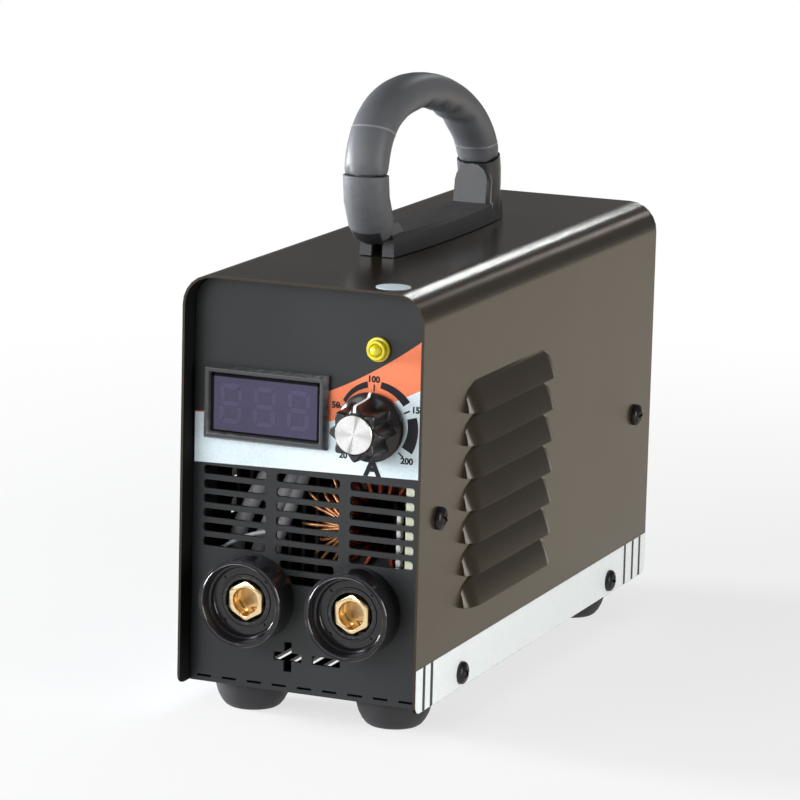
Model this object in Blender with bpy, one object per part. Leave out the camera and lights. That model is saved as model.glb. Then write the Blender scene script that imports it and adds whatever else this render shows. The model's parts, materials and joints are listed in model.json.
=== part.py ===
"""Stick welding inverter: louvred cover, folded chassis, handle, controls, sockets, fan and power stage.

Metres, +Z up, front panel towards -Y. The origin is on the ground, under the middle of the machine.
Inside the assembly, places count from the casing: x and y from its middle, z from its lower edge.
"""
import math

import bmesh
import bpy
from mathutils import Matrix, Vector

# ------------------------------------------------------------------ driving dimensions, metres
GAP = 0.0003                  # clearance between two pieces that touch
CUT = 0.002                   # how far a cutter runs past the wall that it cuts

# casing
CASE_WIDTH = 0.090
CASE_HEIGHT = 0.146
CASE_DEPTH = 0.234
COVER_SHEET = 0.001
COVER_RADIUS = 0.011          # upper bends of the cover
COVER_CORNER = 0.0035         # lower corners of the cover's side walls
PANEL_SHEET = 0.0012
PANEL_RECESS = 0.008          # both end panels stand this far inside the cover's edges

# pressed louvres of the side walls
LOUVRE_COUNT = 7
LOUVRE_LENGTH = 0.0815
LOUVRE_HEIGHT = 0.0105
LOUVRE_DEPTH = 0.0045
LOUVRE_PITCH = 0.01157
LOUVRE_TOP = 0.0369           # from the casing's top to the first louvre
LOUVRE_START = 0.0395         # from the casing's front edge to the louvres
LOUVRE_END = 0.008            # length over which a louvre closes at its ends

# screws of the cover: depth from the nearer end of the casing, and height
SIDE_SCREW_HIGH = (0.0175, 0.066)
SIDE_SCREW_LOW = (0.0415, 0.0056)
SIDE_HEAD_RADIUS = 0.004
SIDE_HEAD_HEIGHT = 0.0024
SIDE_SHANK_RADIUS = 0.0019
SIDE_SHANK_LENGTH = 0.0055
FLANGE_HEIGHT = 0.012         # upturned edges of the floor
TAB_LENGTH = 0.016            # bent tabs of the end panels, at the upper screws
TAB_HEIGHT = 0.016

# floor
FLOOR_SLOT_COUNT = 9
FLOOR_SLOT_PITCH = 0.0066
FLOOR_SLOT_WIDTH = 0.003
FLOOR_SLOT_LENGTH = 0.046
FLOOR_SLOT_START = 0.043      # from the casing's front edge
BEND_SLIT_COUNT = 9
BEND_SLIT_PITCH = 0.0096
BEND_SLIT_LENGTH = 0.0055
BEND_SLIT_HEIGHT = 0.0008

# feet
FOOT_HEIGHT = 0.0108
FOOT_RADIUS = 0.0135
FOOT_TREAD = 0.0091
FOOT_STEM = 0.003
FOOT_X = 0.027
FOOT_FRONT = 0.025            # from the casing's front edge
FOOT_REAR = 0.034             # from the casing's rear edge

# vents of the front panel
VENT_PITCH = 0.00512
VENT_HEIGHT = 0.0031
VENT_LENGTH = 0.0238
VENT_COLUMN = 0.0277          # spacing of the three columns
VENT_DROP = 0.0101             # from the meter's lower edge to the first row
VENT_MARGIN = 0.0005          # least land between the rows and the socket collars
VENT_CORNER = 0.0007
VENT_EXTRA = 0.0205           # length of the short row between the sockets
VENT_LAST_UPPER = 0.0146      # upper and lower length of the last row
VENT_LAST_LOWER = 0.0112

# output sockets
SOCKET_X = 0.020
SOCKET_Z = 0.0325
COLLAR_RADIUS = 0.0155
COLLAR_WALL = 0.002
COLLAR_REACH = 0.012          # rim ahead of the panel
COLLAR_FLOOR = 0.0062         # floor of the collar ahead of the panel
COLLAR_BOSS = 0.012           # radius of the boss that passes the panel
CONTACT_FLATS = 0.013
CONTACT_BORE = 0.0046
CONTACT_DEPTH = 0.0125        # depth of the plug's bore
CONTACT_TAIL = 0.014          # rear end of the contact behind the panel's face
POLARITY_X = (-0.0065, 0.0081)
POLARITY_Z = 0.0126
POLARITY_SIZE = 0.0106
POLARITY_BAR = 0.003
BUSBAR_WIDTH = 0.012
BUSBAR_THICKNESS = 0.002
BUSBAR_FOOT = 0.006
BOLT_FLATS = 0.010
BOLT_HEAD = 0.004
BOLT_RADIUS = 0.003
BOLT_GRIP = 0.005             # thread engaged in the contact

# display
DISPLAY_X = -0.0159
DISPLAY_DROP = 0.0453         # below the casing's top
DISPLAY_WIDTH = 0.0465
DISPLAY_HEIGHT = 0.026
DISPLAY_PROUD = 0.0035
DISPLAY_RIM = 0.0027
DISPLAY_BODY = 0.015          # length of the housing behind the panel's face
DISPLAY_WALL = 0.0014
WINDOW_THICKNESS = 0.0014
WINDOW_SINK = 0.0012          # face of the window below the rim
MODULE_THICKNESS = 0.008

# indicator lamp
LAMP_X = 0.0253
LAMP_DROP = 0.0214
LAMP_FLANGE = 0.0043
LAMP_BODY = 0.0031
LAMP_PROUD = 0.0034
LAMP_TAIL = 0.009
LENS_RADIUS = 0.0021

# current knob
KNOB_X = 0.0235
KNOB_DROP = 0.0483
KNOB_SKIRT = 0.013
KNOB_BODY = 0.0108
KNOB_TOP = 0.0098
KNOB_REACH = 0.0160
KNOB_CLEAR = 0.001            # skirt above the panel
KNOB_LOBES = 8
KNOB_FLUTE = 0.0013
CAP_RADIUS = 0.0073
CAP_PROUD = 0.0008
SHAFT_RADIUS = 0.003
SHAFT_REACH = 0.0130
BUSHING_RADIUS = 0.0045
BUSHING_REACH = 0.0045
POT_RADIUS = 0.012
POT_DEPTH = 0.012
NUT_FLATS = 0.012
NUT_HEIGHT = 0.0024

# handle
HANDLE_Y = -0.0105            # middle of the arch
HANDLE_SPAN = 0.108           # between the legs' centre lines
HANDLE_RISE = 0.0555          # top of the centre line above the casing
HANDLE_WIDTH = 0.016
HANDLE_THICKNESS = 0.0135
HANDLE_SQUARE = 2.4           # exponent of the section's superellipse
FRONT_SEAM = 0.0275           # along the centre line, from the front foot
REAR_SEAM = 0.020             # along the centre line, from the rear foot
SPIGOT_RADIUS = 0.004
SPIGOT_LENGTH = 0.008
FINGER_COUNT = 4
FINGER_DEPTH = 0.0021
FINGER_START = 0.077          # stretch of the centre line with finger grooves
FINGER_END = 0.135
SADDLE_SETBACK = 0.0115       # saddle's front end behind the front leg's centre line
SADDLE_TAIL = 0.0080          # saddle's rear end behind the rear leg's centre line
SADDLE_HEIGHT = 0.0078
SADDLE_HALF = 0.0085
SADDLE_END = 0.0062
FORK_GAP = 0.0042
FORK_ROOF = 0.0012            # left of the saddle above the fork, where the leg's tip sits on it
LEG_TIP = 0.0095              # length over which the front leg rounds off
FORK_LENGTH = 0.007
SHOULDER_LENGTH = 0.014       # slope of the saddle up to the front leg
SHOULDER_HEIGHT = 0.004
HANDLE_SCREW_SETBACK = 0.024  # from each leg's centre line towards the handle's middle
HANDLE_SCREW_RADIUS = 0.0025
HANDLE_SCREW_LENGTH = 0.0075
HANDLE_HEAD_RADIUS = 0.0048
HANDLE_HEAD_HEIGHT = 0.003

# fan and its grille
FAN_SIZE = 0.070
FAN_DEPTH = 0.020
FAN_DROP = 0.042              # axis below the casing's top
FAN_BORE = 0.0328
FAN_FLANGE = 0.0035
FAN_HUB = 0.0135
FAN_HUB_PLATE = 0.003
FAN_BLADES = 7
FAN_BLADE_THICKNESS = 0.0012
FAN_TIP_CLEARANCE = 0.0012
FAN_PIN = 0.0015
FAN_SCREW_SPACING = 0.0615
FAN_SCREW_RADIUS = 0.002
FAN_SCREW_HEAD = 0.0036
GRILLE_RINGS = 4
GRILLE_FIRST = 0.008
GRILLE_PITCH = 0.0062
GRILLE_SLOT = 0.0040
GRILLE_SPOKE = 0.0045

# mains switch
SWITCH_X = -0.019
SWITCH_Z = 0.034
SWITCH_WIDTH = 0.027
SWITCH_HEIGHT = 0.031
SWITCH_PROUD = 0.002
SWITCH_DEPTH = 0.020
SWITCH_LIP = 0.0014           # frame past the body, all round
ROCKER_WIDTH = 0.0200
ROCKER_HALF = 0.0110
ROCKER_PIVOT = 0.0040         # axis below the frame's face
ROCKER_TILT = 0.2094          # 12 degrees to either side
ROCKER_PIN = 0.0015

# cable gland
GLAND_X = 0.021
GLAND_Z = 0.034
GLAND_FLATS = 0.019
GLAND_THREAD = 0.0075
GLAND_BORE = 0.0048
GLAND_FLANGE = 0.004
GLAND_CAP_LENGTH = 0.0128
GLAND_CAP_RADIUS = 0.0088
GLAND_NUT = 0.004

# power stage
BOARD_Z = 0.020
BOARD_THICKNESS = 0.0016
BOARD_HALF = 0.040
BOARD_FRONT = 0.027           # from the casing's front edge
BOARD_REAR = 0.037            # from the casing's rear edge
BOSS_RADIUS = 0.0035
BOSS_X = 0.036
BOSS_INSET = 0.018
CHOKE_X = 0.018
CHOKE_BACK = 0.033            # centre behind the panel's face
CHOKE_Z = 0.057
CHOKE_INNER = 0.0125
CHOKE_OUTER = 0.021
CHOKE_THICKNESS = 0.014
CHOKE_CHAMFER = 0.002
WIRE_RADIUS = 0.0011
WIRE_LOOPS = 20
WIRE_POINTS = 12              # points along one loop
WIRE_SPREAD = 330.0           # degrees of the ring that the loops cover
CRADLE_WIDTH = 0.028
CRADLE_DEPTH = 0.011
SINK_WIDTH = 0.032
SINK_HEIGHT = 0.050
SINK_BASE = 0.004
SINK_FIN = 0.0013
SINK_FINS = 7
SINK_X = 0.0235
SINK_REAR = 0.002             # rear end of both heat sinks
SINK_FRONT = (-0.082, -0.062)
CORE_WIDTH = 0.048
CORE_HEIGHT = 0.040
CORE_DEPTH = 0.016
CORE_LEG = 0.014
CORE_YOKE = 0.007
CORE_Y = 0.025
COIL_BUILD = 0.0090           # thickness of the winding round the middle leg
CAPACITOR_RADIUS = 0.0125
CAPACITOR_HEIGHT = 0.040
CAPACITOR_X = 0.020
CAPACITOR_Y = 0.062
STRIP_WIDTH = 0.003
STRIP_DEPTH = 0.008
STRIP_HEIGHT = 0.032
STRIP_X = 0.0375

# ------------------------------------------------------------------ values that follow
HALF_WIDTH = CASE_WIDTH / 2
HALF_DEPTH = CASE_DEPTH / 2
SADDLE_FRONT = HALF_DEPTH + HANDLE_Y - HANDLE_SPAN / 2 + SADDLE_SETBACK     # from the casing's front edge
SADDLE_REAR = HALF_DEPTH + HANDLE_Y + HANDLE_SPAN / 2 + SADDLE_TAIL
HANDLE_SCREW_Y = HANDLE_SPAN / 2 - HANDLE_SCREW_SETBACK     # either side of the handle's middle
INNER_HALF = HALF_WIDTH - COVER_SHEET - GAP
PANEL_TOP = CASE_HEIGHT - COVER_SHEET - GAP
PANEL_RADIUS = COVER_RADIUS - COVER_SHEET - GAP
FRONT_FACE = -HALF_DEPTH + PANEL_RECESS
REAR_FACE = HALF_DEPTH - PANEL_RECESS
BEHIND = -PANEL_SHEET - GAP   # seat behind a panel, in a frame that faces out of it
BOARD_TOP = BOARD_Z + BOARD_THICKNESS
VENT_TOP = CASE_HEIGHT - DISPLAY_DROP - DISPLAY_HEIGHT / 2 - VENT_DROP
VENT_ROOM = VENT_TOP - VENT_HEIGHT - VENT_MARGIN - SOCKET_Z - COLLAR_RADIUS
VENT_ROWS = max(1, int(VENT_ROOM / VENT_PITCH) + 1)
GLAND_REACH = GAP + GLAND_FLANGE + GLAND_CAP_LENGTH - GAP
FRONT_REACH = max(COLLAR_REACH, KNOB_REACH + CAP_PROUD) - PANEL_RECESS
REAR_REACH = GLAND_REACH - PANEL_RECESS

# ways that a flat outline or a turned piece can face, as exact turns of the axes
UPRIGHT = Matrix.Identity(4)
FORWARD = Matrix(((1, 0, 0, 0), (0, 0, -1, 0), (0, 1, 0, 0), (0, 0, 0, 1)))
REARWARD = Matrix(((-1, 0, 0, 0), (0, 0, 1, 0), (0, 1, 0, 0), (0, 0, 0, 1)))
RIGHTWARD = Matrix(((0, 0, 1, 0), (1, 0, 0, 0), (0, 1, 0, 0), (0, 0, 0, 1)))
LEFTWARD = Matrix(((0, 0, -1, 0), (-1, 0, 0, 0), (0, 1, 0, 0), (0, 0, 0, 1)))
FACING = {"up": (0, 0, 0), "front": (math.pi / 2, 0, 0), "rear": (math.pi / 2, 0, math.pi),
          "right": (math.pi / 2, 0, math.pi / 2), "left": (math.pi / 2, 0, -math.pi / 2)}

# finish: colour, roughness, metallic
FINISHES = {
    "powder_coat": ((0.055, 0.052, 0.050), 0.48, 0.0),
    "panel_coat": ((0.030, 0.033, 0.034), 0.50, 0.0),
    "black_plastic": ((0.012, 0.012, 0.013), 0.35, 0.0),
    "handle_rubber": ((0.045, 0.048, 0.052), 0.62, 0.0),
    "foot_rubber": ((0.035, 0.035, 0.038), 0.75, 0.0),
    "brass": ((0.80, 0.55, 0.30), 0.25, 1.0),
    "copper": ((0.72, 0.32, 0.16), 0.30, 1.0),
    "spun_aluminium": ((0.85, 0.86, 0.87), 0.28, 1.0),
    "aluminium": ((0.60, 0.61, 0.62), 0.45, 1.0),
    "black_screw": ((0.020, 0.020, 0.022), 0.40, 0.8),
    "zinc_steel": ((0.55, 0.56, 0.56), 0.40, 1.0),
    "tinted_window": ((0.070, 0.055, 0.110), 0.15, 0.0),
    "digit_grey": ((0.30, 0.30, 0.32), 0.60, 0.0),
    "amber_plastic": ((0.75, 0.62, 0.02), 0.25, 0.0),
    "board_green": ((0.02, 0.10, 0.05), 0.50, 0.0),
    "ferrite": ((0.06, 0.06, 0.06), 0.60, 0.0),
    "tape_yellow": ((0.65, 0.50, 0.10), 0.45, 0.0),
    "cream_nylon": ((0.78, 0.76, 0.66), 0.45, 0.0),
    "capacitor_sleeve": ((0.02, 0.03, 0.06), 0.35, 0.0),
}


# ------------------------------------------------------------------ modelling helpers
def clear_scene():
    """Take every object out of the scene."""
    for obj in list(bpy.data.objects):
        bpy.data.objects.remove(obj, do_unlink=True)


def finish(name):
    """The Principled material of one finish, made on first use."""
    material = bpy.data.materials.get(name)
    if material is None:
        colour, roughness, metallic = FINISHES[name]
        material = bpy.data.materials.new(name)
        material.use_nodes = True
        shader = material.node_tree.nodes["Principled BSDF"]
        shader.inputs["Base Color"].default_value = (*colour, 1.0)
        shader.inputs["Roughness"].default_value = roughness
        shader.inputs["Metallic"].default_value = metallic
        material.diffuse_color = (*colour, 1.0)
    return material


def piece(name, bm, finish_name, parent, at=(0, 0, 0), facing="up", smooth=32):
    """Make an object of a mesh, with its finish, its place under the parent and its way of facing."""
    bmesh.ops.recalc_face_normals(bm, faces=bm.faces[:])
    mesh = bpy.data.meshes.new(name)
    bm.to_mesh(mesh)
    bm.free()
    mesh.shade_smooth()
    mesh.set_sharp_from_angle(angle=math.radians(smooth))
    obj = bpy.data.objects.new(name, mesh)
    obj.data.materials.append(finish(finish_name))
    bpy.context.scene.collection.objects.link(obj)
    obj.parent = parent
    obj.location = at
    obj.rotation_euler = FACING[facing]
    return obj


def boolean(target, bm, operation):
    """Cut or fuse a mesh, given in the target's own frame, with the target."""
    label = f"{target.name}_{operation.lower()}_{len(target.modifiers)}"
    tool = piece(label, bm, target.data.materials[0].name, target.parent, target.location)
    tool.rotation_euler = target.rotation_euler
    tool.hide_render = True
    tool.display_type = "WIRE"
    modifier = target.modifiers.new(operation.title(), "BOOLEAN")
    modifier.operation = operation
    modifier.object = tool
    modifier.solver = "EXACT"


def cut(target, bm):
    boolean(target, bm, "DIFFERENCE")


def fuse(target, bm):
    boolean(target, bm, "UNION")


def loft(bm, rings, closed=False):
    """Skin rings of equally many points; the ends get caps unless the rings close on themselves."""
    rows = [[bm.verts.new(point) for point in ring] for ring in rings]
    count = len(rows[0])
    following = rows[1:] + rows[:1] if closed else rows[1:]
    for low, high in zip(rows, following):
        for i in range(count):
            j = (i + 1) % count
            bm.faces.new((low[i], low[j], high[j], high[i]))
    if not closed:
        bm.faces.new(rows[0][::-1])
        bm.faces.new(rows[-1])
    return bm


def prism(bm, outline, low, high, at=UPRIGHT):
    """A flat outline, extruded along its frame's Z from low to high."""
    return loft(bm, [[at @ Vector((u, v, w)) for u, v in outline] for w in (low, high)])


def box(bm, low, high):
    """A block between two corners."""
    (x0, y0, z0), (x1, y1, z1) = low, high
    return prism(bm, [(x0, y0), (x1, y0), (x1, y1), (x0, y1)], z0, z1)


def turned(bm, profile, steps, at=UPRIGHT, swell=None):
    """Revolve a profile of (radius, height) about Z; it starts and ends on the axis, or is a ring."""
    rows = []
    for radius, height in profile:
        angles = [0.0] if radius == 0 else [math.tau * i / steps for i in range(steps)]
        scale = swell(radius, height) if swell else (lambda angle: 1.0)
        rows.append([bm.verts.new(at @ Vector((radius * scale(a) * math.cos(a),
                                               radius * scale(a) * math.sin(a), height)))
                     for a in angles])
    pairs = list(zip(rows, rows[1:]))
    if len(rows[0]) > 1:
        pairs.append((rows[-1], rows[0]))
    for low, high in pairs:
        for i in range(steps):
            j = (i + 1) % steps
            if len(low) == 1:
                bm.faces.new((low[0], high[j], high[i]))
            elif len(high) == 1:
                bm.faces.new((low[i], low[j], high[0]))
            else:
                bm.faces.new((low[i], low[j], high[j], high[i]))
    return bm


def cylinder(bm, radius, low, high, steps=16, at=UPRIGHT):
    """A plain round bar along the frame's Z."""
    return turned(bm, [(0, low), (radius, low), (radius, high), (0, high)], steps, at)


def moved(turn, x, y, z):
    """A frame turned like the given one, with its origin at a place."""
    return Matrix.Translation((x, y, z)) @ turn


def rectangle(width, height, radius=0.0, x=0.0, y=0.0, steps=3):
    """Outline of a rectangle about (x, y), with round corners."""
    if radius == 0:
        return [(x + sx * width / 2, y + sy * height / 2) for sx, sy in ((-1, -1), (1, -1), (1, 1), (-1, 1))]
    points = []
    for quarter, (sx, sy) in enumerate(((1, 1), (-1, 1), (-1, -1), (1, -1))):
        for step in range(steps + 1):
            angle = math.pi / 2 * (quarter + step / steps)
            points.append((x + sx * (width / 2 - radius) + radius * math.cos(angle),
                           y + sy * (height / 2 - radius) + radius * math.sin(angle)))
    return points


def hexagon(flats, x=0.0, y=0.0, turn=0.0):
    """Outline of a hexagon with its width across flats; turn 0 puts a corner at the top."""
    corner = flats / math.sqrt(3)
    return [(x + corner * math.cos(math.pi / 6 + turn + i * math.pi / 3),
             y + corner * math.sin(math.pi / 6 + turn + i * math.pi / 3)) for i in range(6)]


def panel_outline(bottom):
    """Outline of an end panel, which fits inside the cover's bends."""
    points = [(-INNER_HALF, bottom), (INNER_HALF, bottom)]
    for side, first in ((1, 0.0), (-1, math.pi / 2)):
        for step in range(6):
            angle = first + math.pi / 2 * step / 5
            points.append((side * (INNER_HALF - PANEL_RADIUS) + PANEL_RADIUS * math.cos(angle),
                           PANEL_TOP - PANEL_RADIUS + PANEL_RADIUS * math.sin(angle)))
    return points


def pan_head(head_radius, head_height, shank_radius, shank_length):
    """Profile of a pan-head screw whose head seats a gap above height zero."""
    return [(0, -shank_length), (shank_radius, -shank_length), (shank_radius, GAP), (head_radius, GAP),
            (head_radius, GAP + head_height * 0.4), (head_radius * 0.62, GAP + head_height),
            (0, GAP + head_height)]


# ------------------------------------------------------------------ casing
def side_screw_places():
    """Depth and height of the four screws of one side wall."""
    return [(end * (HALF_DEPTH - inset), height) for inset, height in (SIDE_SCREW_HIGH, SIDE_SCREW_LOW)
            for end in (-1, 1)]


def cover_outline():
    """Inverted U of the cover's sheet, seen from the front."""
    points = []
    for inset, turn in ((0.0, 1), (COVER_SHEET, -1)):
        half, radius = HALF_WIDTH - inset, COVER_RADIUS - inset
        path = [(half, 0.0)]
        for side, first in ((1, 0.0), (-1, math.pi / 2)):
            for step in range(7):
                angle = first + math.pi / 2 * step / 6
                path.append((side * (half - radius) + radius * math.cos(angle),
                             CASE_HEIGHT - inset - radius + radius * math.sin(angle)))
        path.append((-half, 0.0))
        points += path[::turn]
    return points


def hood_sections(length):
    """Stations along a louvre with the share of its full size that it has there."""
    ends = [(LOUVRE_END * (1 - math.cos(a)), math.sin(a)) for a in (math.radians(d) for d in (16, 48, 90))]
    half = length / 2
    return [(-half + run, share) for run, share in ends] + [(half - run, share) for run, share in ends[::-1]]


def hood_curve(depth, top, share):
    """Outer line of a louvre's section, from the sheet down to the lip: (outwards, downwards)."""
    start = top + (LOUVRE_HEIGHT - top) * 0.7 * (1 - share)
    return [(depth * share * out, start + (LOUVRE_HEIGHT - start) * down)
            for out, down in ((0.0, 0.0), (0.27, 0.15), (0.68, 0.55), (1.0, 1.0))]


def louvre_hood(bm, at):
    """The pressed-out shape, sunk halfway into the sheet."""
    rings = []
    for run, share in hood_sections(LOUVRE_LENGTH):
        curve = hood_curve(LOUVRE_DEPTH, 0.0, share)
        root = -COVER_SHEET / 2
        section = [(root, curve[0][1])] + curve + [(root, LOUVRE_HEIGHT)]
        rings.append([at @ Vector((run, -down, out)) for out, down in section])
    loft(bm, rings)


def louvre_hollow(bm, at):
    """The room under the louvre, open to the inside of the casing and downwards to the outside."""
    rings = []
    lip, step = LOUVRE_HEIGHT - GAP, GAP / 2
    for run, share in hood_sections(LOUVRE_LENGTH - 2 * COVER_SHEET):
        curve = hood_curve(LOUVRE_DEPTH - COVER_SHEET, COVER_SHEET, share)
        through = -COVER_SHEET - CUT
        below = LOUVRE_HEIGHT + GAP
        section = [(through, curve[0][1])] + curve + [(curve[-1][0], below), (step, below), (step, lip),
                                                      (through, lip)]
        rings.append([at @ Vector((run, -down, out)) for out, down in section])
    loft(bm, rings)


def build_cover(casing):
    """Inverted-U cover with its louvres and screw holes."""
    bm = bmesh.new()
    prism(bm, cover_outline(), -HALF_DEPTH, HALF_DEPTH, REARWARD)
    cover = piece("cover_shell", bm, "powder_coat", casing)
    corners = bmesh.new()
    side = rectangle(CASE_DEPTH, CASE_HEIGHT * 2, COVER_CORNER, 0, CASE_HEIGHT, 4)
    prism(corners, side, -HALF_WIDTH - CUT, HALF_WIDTH + CUT, RIGHTWARD)
    boolean(cover, corners, "INTERSECT")
    hoods, hollows = bmesh.new(), bmesh.new()
    middle = -HALF_DEPTH + LOUVRE_START + LOUVRE_LENGTH / 2
    for row in range(LOUVRE_COUNT):
        top = CASE_HEIGHT - LOUVRE_TOP - row * LOUVRE_PITCH
        for turn, sign in ((RIGHTWARD, 1), (LEFTWARD, -1)):
            at = moved(turn, sign * HALF_WIDTH, middle, top)
            louvre_hood(hoods, at)
            louvre_hollow(hollows, at)
    for turn, sign in ((RIGHTWARD, 1), (LEFTWARD, -1)):
        for depth, height in side_screw_places():
            at = moved(turn, sign * HALF_WIDTH, depth, height)
            cylinder(hollows, SIDE_SHANK_RADIUS + GAP, -COVER_SHEET - CUT, CUT, 8, at)
    for sign in (-1, 1):
        at = moved(UPRIGHT, 0, HANDLE_Y + sign * HANDLE_SCREW_Y, CASE_HEIGHT)
        cylinder(hollows, HANDLE_SCREW_RADIUS + GAP, -COVER_SHEET - CUT, CUT, 12, at)
    fuse(cover, hoods)
    cut(cover, hollows)


def vent_outlines():
    """Outlines of the front panel's vents."""
    outlines = []
    for row in range(VENT_ROWS):
        z = VENT_TOP - VENT_HEIGHT / 2 - row * VENT_PITCH
        for column in (-1, 0, 1):
            outlines.append(rectangle(VENT_LENGTH, VENT_HEIGHT, VENT_CORNER, column * VENT_COLUMN, z, 1))
    z = VENT_TOP - VENT_HEIGHT / 2 - VENT_ROWS * VENT_PITCH
    outlines.append(rectangle(VENT_EXTRA, VENT_HEIGHT, VENT_CORNER, 0, z, 1))
    upper, lower = VENT_LAST_UPPER / 2, VENT_LAST_LOWER / 2
    top = z - VENT_PITCH + VENT_HEIGHT / 2
    outlines.append([(-upper, top), (-lower, top - VENT_HEIGHT), (lower, top - VENT_HEIGHT), (upper, top)])
    return outlines


def polarity_outlines():
    """Cut-out signs under the sockets: a cross and a bar."""
    arm, half = POLARITY_SIZE / 2, POLARITY_BAR / 2
    x, z = POLARITY_X[0], POLARITY_Z
    corners = ((half, half), (half, arm), (-half, arm), (-half, half), (-arm, half), (-arm, -half),
               (-half, -half), (-half, -arm), (half, -arm), (half, -half), (arm, -half), (arm, half))
    return [[(x + u, z + v) for u, v in corners], rectangle(POLARITY_SIZE, POLARITY_BAR, 0, POLARITY_X[1], z)]


def foot_places():
    rows = (-HALF_DEPTH + FOOT_FRONT, HALF_DEPTH - FOOT_REAR)
    return [(side * FOOT_X, y) for y in rows for side in (-1, 1)]


def tab_box(bm, side, end):
    """Bent tab of an end panel, behind an upper screw of the cover."""
    inner, outer = side * (INNER_HALF - PANEL_SHEET), side * INNER_HALF
    face = end * REAR_FACE
    y0, y1 = face - end * PANEL_SHEET / 2, face - end * (PANEL_SHEET + TAB_LENGTH)
    z0, z1 = SIDE_SCREW_HIGH[1] - TAB_HEIGHT / 2, SIDE_SCREW_HIGH[1] + TAB_HEIGHT / 2
    box(bm, (min(inner, outer), min(y0, y1), z0), (max(inner, outer), max(y0, y1), z1))


def tab_holes(bm, places):
    """Holes for the cover's screws through flanges or tabs on both sides."""
    for depth, height in places:
        for turn, sign in ((RIGHTWARD, 1), (LEFTWARD, -1)):
            at = moved(turn, sign * INNER_HALF, depth, height)
            cylinder(bm, SIDE_SHANK_RADIUS + GAP, -PANEL_SHEET - CUT, CUT / 4, 8, at)


def build_chassis(casing):
    """Front panel and floor, folded from one sheet, with flanges, tabs and pressed-in board posts."""
    bm = bmesh.new()
    at_front = moved(FORWARD, 0, FRONT_FACE, 0)
    prism(bm, panel_outline(0.0), -PANEL_SHEET, 0.0, at_front)
    chassis = piece("chassis", bm, "panel_coat", casing)
    floor = bmesh.new()
    floor_end = REAR_FACE - PANEL_SHEET - GAP
    box(floor, (-INNER_HALF, FRONT_FACE + PANEL_SHEET / 2, 0), (INNER_HALF, floor_end, PANEL_SHEET))
    fuse(chassis, floor)
    folds = bmesh.new()
    for side in (-1, 1):
        inner, outer = sorted((side * (INNER_HALF - PANEL_SHEET), side * INNER_HALF))
        box(folds, (inner, FRONT_FACE + PANEL_RECESS, PANEL_SHEET / 2),
            (outer, floor_end - PANEL_RECESS, FLANGE_HEIGHT))
        tab_box(folds, side, -1)
        for y in board_post_rows():
            at = moved(UPRIGHT, side * BOSS_X, y, 0)
            cylinder(folds, BOSS_RADIUS, PANEL_SHEET / 2, BOARD_Z - GAP, 8, at)
    fuse(chassis, folds)
    holes = bmesh.new()
    openings = vent_outlines() + polarity_outlines()
    inner_width = DISPLAY_WIDTH - 2 * DISPLAY_WALL + 2 * GAP
    inner_height = DISPLAY_HEIGHT - 2 * DISPLAY_WALL + 2 * GAP
    openings.append(rectangle(inner_width, inner_height, 0, DISPLAY_X, CASE_HEIGHT - DISPLAY_DROP))
    first = -BEND_SLIT_PITCH * (BEND_SLIT_COUNT - 1) / 2
    for slit in range(BEND_SLIT_COUNT):
        openings.append(rectangle(BEND_SLIT_LENGTH, BEND_SLIT_HEIGHT, 0, first + slit * BEND_SLIT_PITCH,
                                  PANEL_SHEET + BEND_SLIT_HEIGHT))
    for outline in openings:
        prism(holes, outline, -PANEL_SHEET - CUT, CUT, at_front)
    for x, z, radius in ((LAMP_X, CASE_HEIGHT - LAMP_DROP, LAMP_BODY + GAP),
                         (KNOB_X, CASE_HEIGHT - KNOB_DROP, BUSHING_RADIUS + GAP),
                         (-SOCKET_X, SOCKET_Z, COLLAR_BOSS + GAP), (SOCKET_X, SOCKET_Z, COLLAR_BOSS + GAP)):
        cylinder(holes, radius, -PANEL_SHEET - CUT, CUT, 20, moved(FORWARD, x, FRONT_FACE, z))
    front_high = [place for place in side_screw_places() if place[0] < 0 or place[1] == SIDE_SCREW_LOW[1]]
    tab_holes(holes, front_high)
    for x, y in foot_places():
        cylinder(holes, FOOT_STEM + GAP, -CUT, PANEL_SHEET + CUT, 12, moved(UPRIGHT, x, y, 0))
    start = -HALF_DEPTH + FLOOR_SLOT_START
    for slot in range(FLOOR_SLOT_COUNT):
        x = (slot - (FLOOR_SLOT_COUNT - 1) / 2) * FLOOR_SLOT_PITCH
        outline = rectangle(FLOOR_SLOT_WIDTH, FLOOR_SLOT_LENGTH, 0, x, start + FLOOR_SLOT_LENGTH / 2)
        prism(holes, outline, -CUT, PANEL_SHEET + CUT)
    cut(chassis, holes)


def board_post_rows():
    return (-HALF_DEPTH + BOARD_FRONT + BOSS_INSET, HALF_DEPTH - BOARD_REAR - BOSS_INSET)


def grille_outlines():
    """Ring sectors of the fan's grille about its axis."""
    outlines = []
    for ring in range(GRILLE_RINGS):
        inner = GRILLE_FIRST + ring * GRILLE_PITCH
        outer = inner + GRILLE_SLOT
        steps = 2 + ring
        for quarter in range(4):
            outline = []
            for radius, order in ((inner, 1), (outer, -1)):
                margin = math.asin(GRILLE_SPOKE / 2 / radius)
                start, sweep = quarter * math.pi / 2 + math.pi / 4 + margin, math.pi / 2 - 2 * margin
                turns = [start + sweep * i / steps for i in range(steps + 1)]
                arc = [(radius * math.cos(turn), radius * math.sin(turn)) for turn in turns]
                outline += arc[::order]
            outlines.append(outline)
    return outlines


def fan_screw_places():
    half = FAN_SCREW_SPACING / 2
    return [(sx * half, sz * half) for sz in (1, -1) for sx in (-1, 1)]


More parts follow.
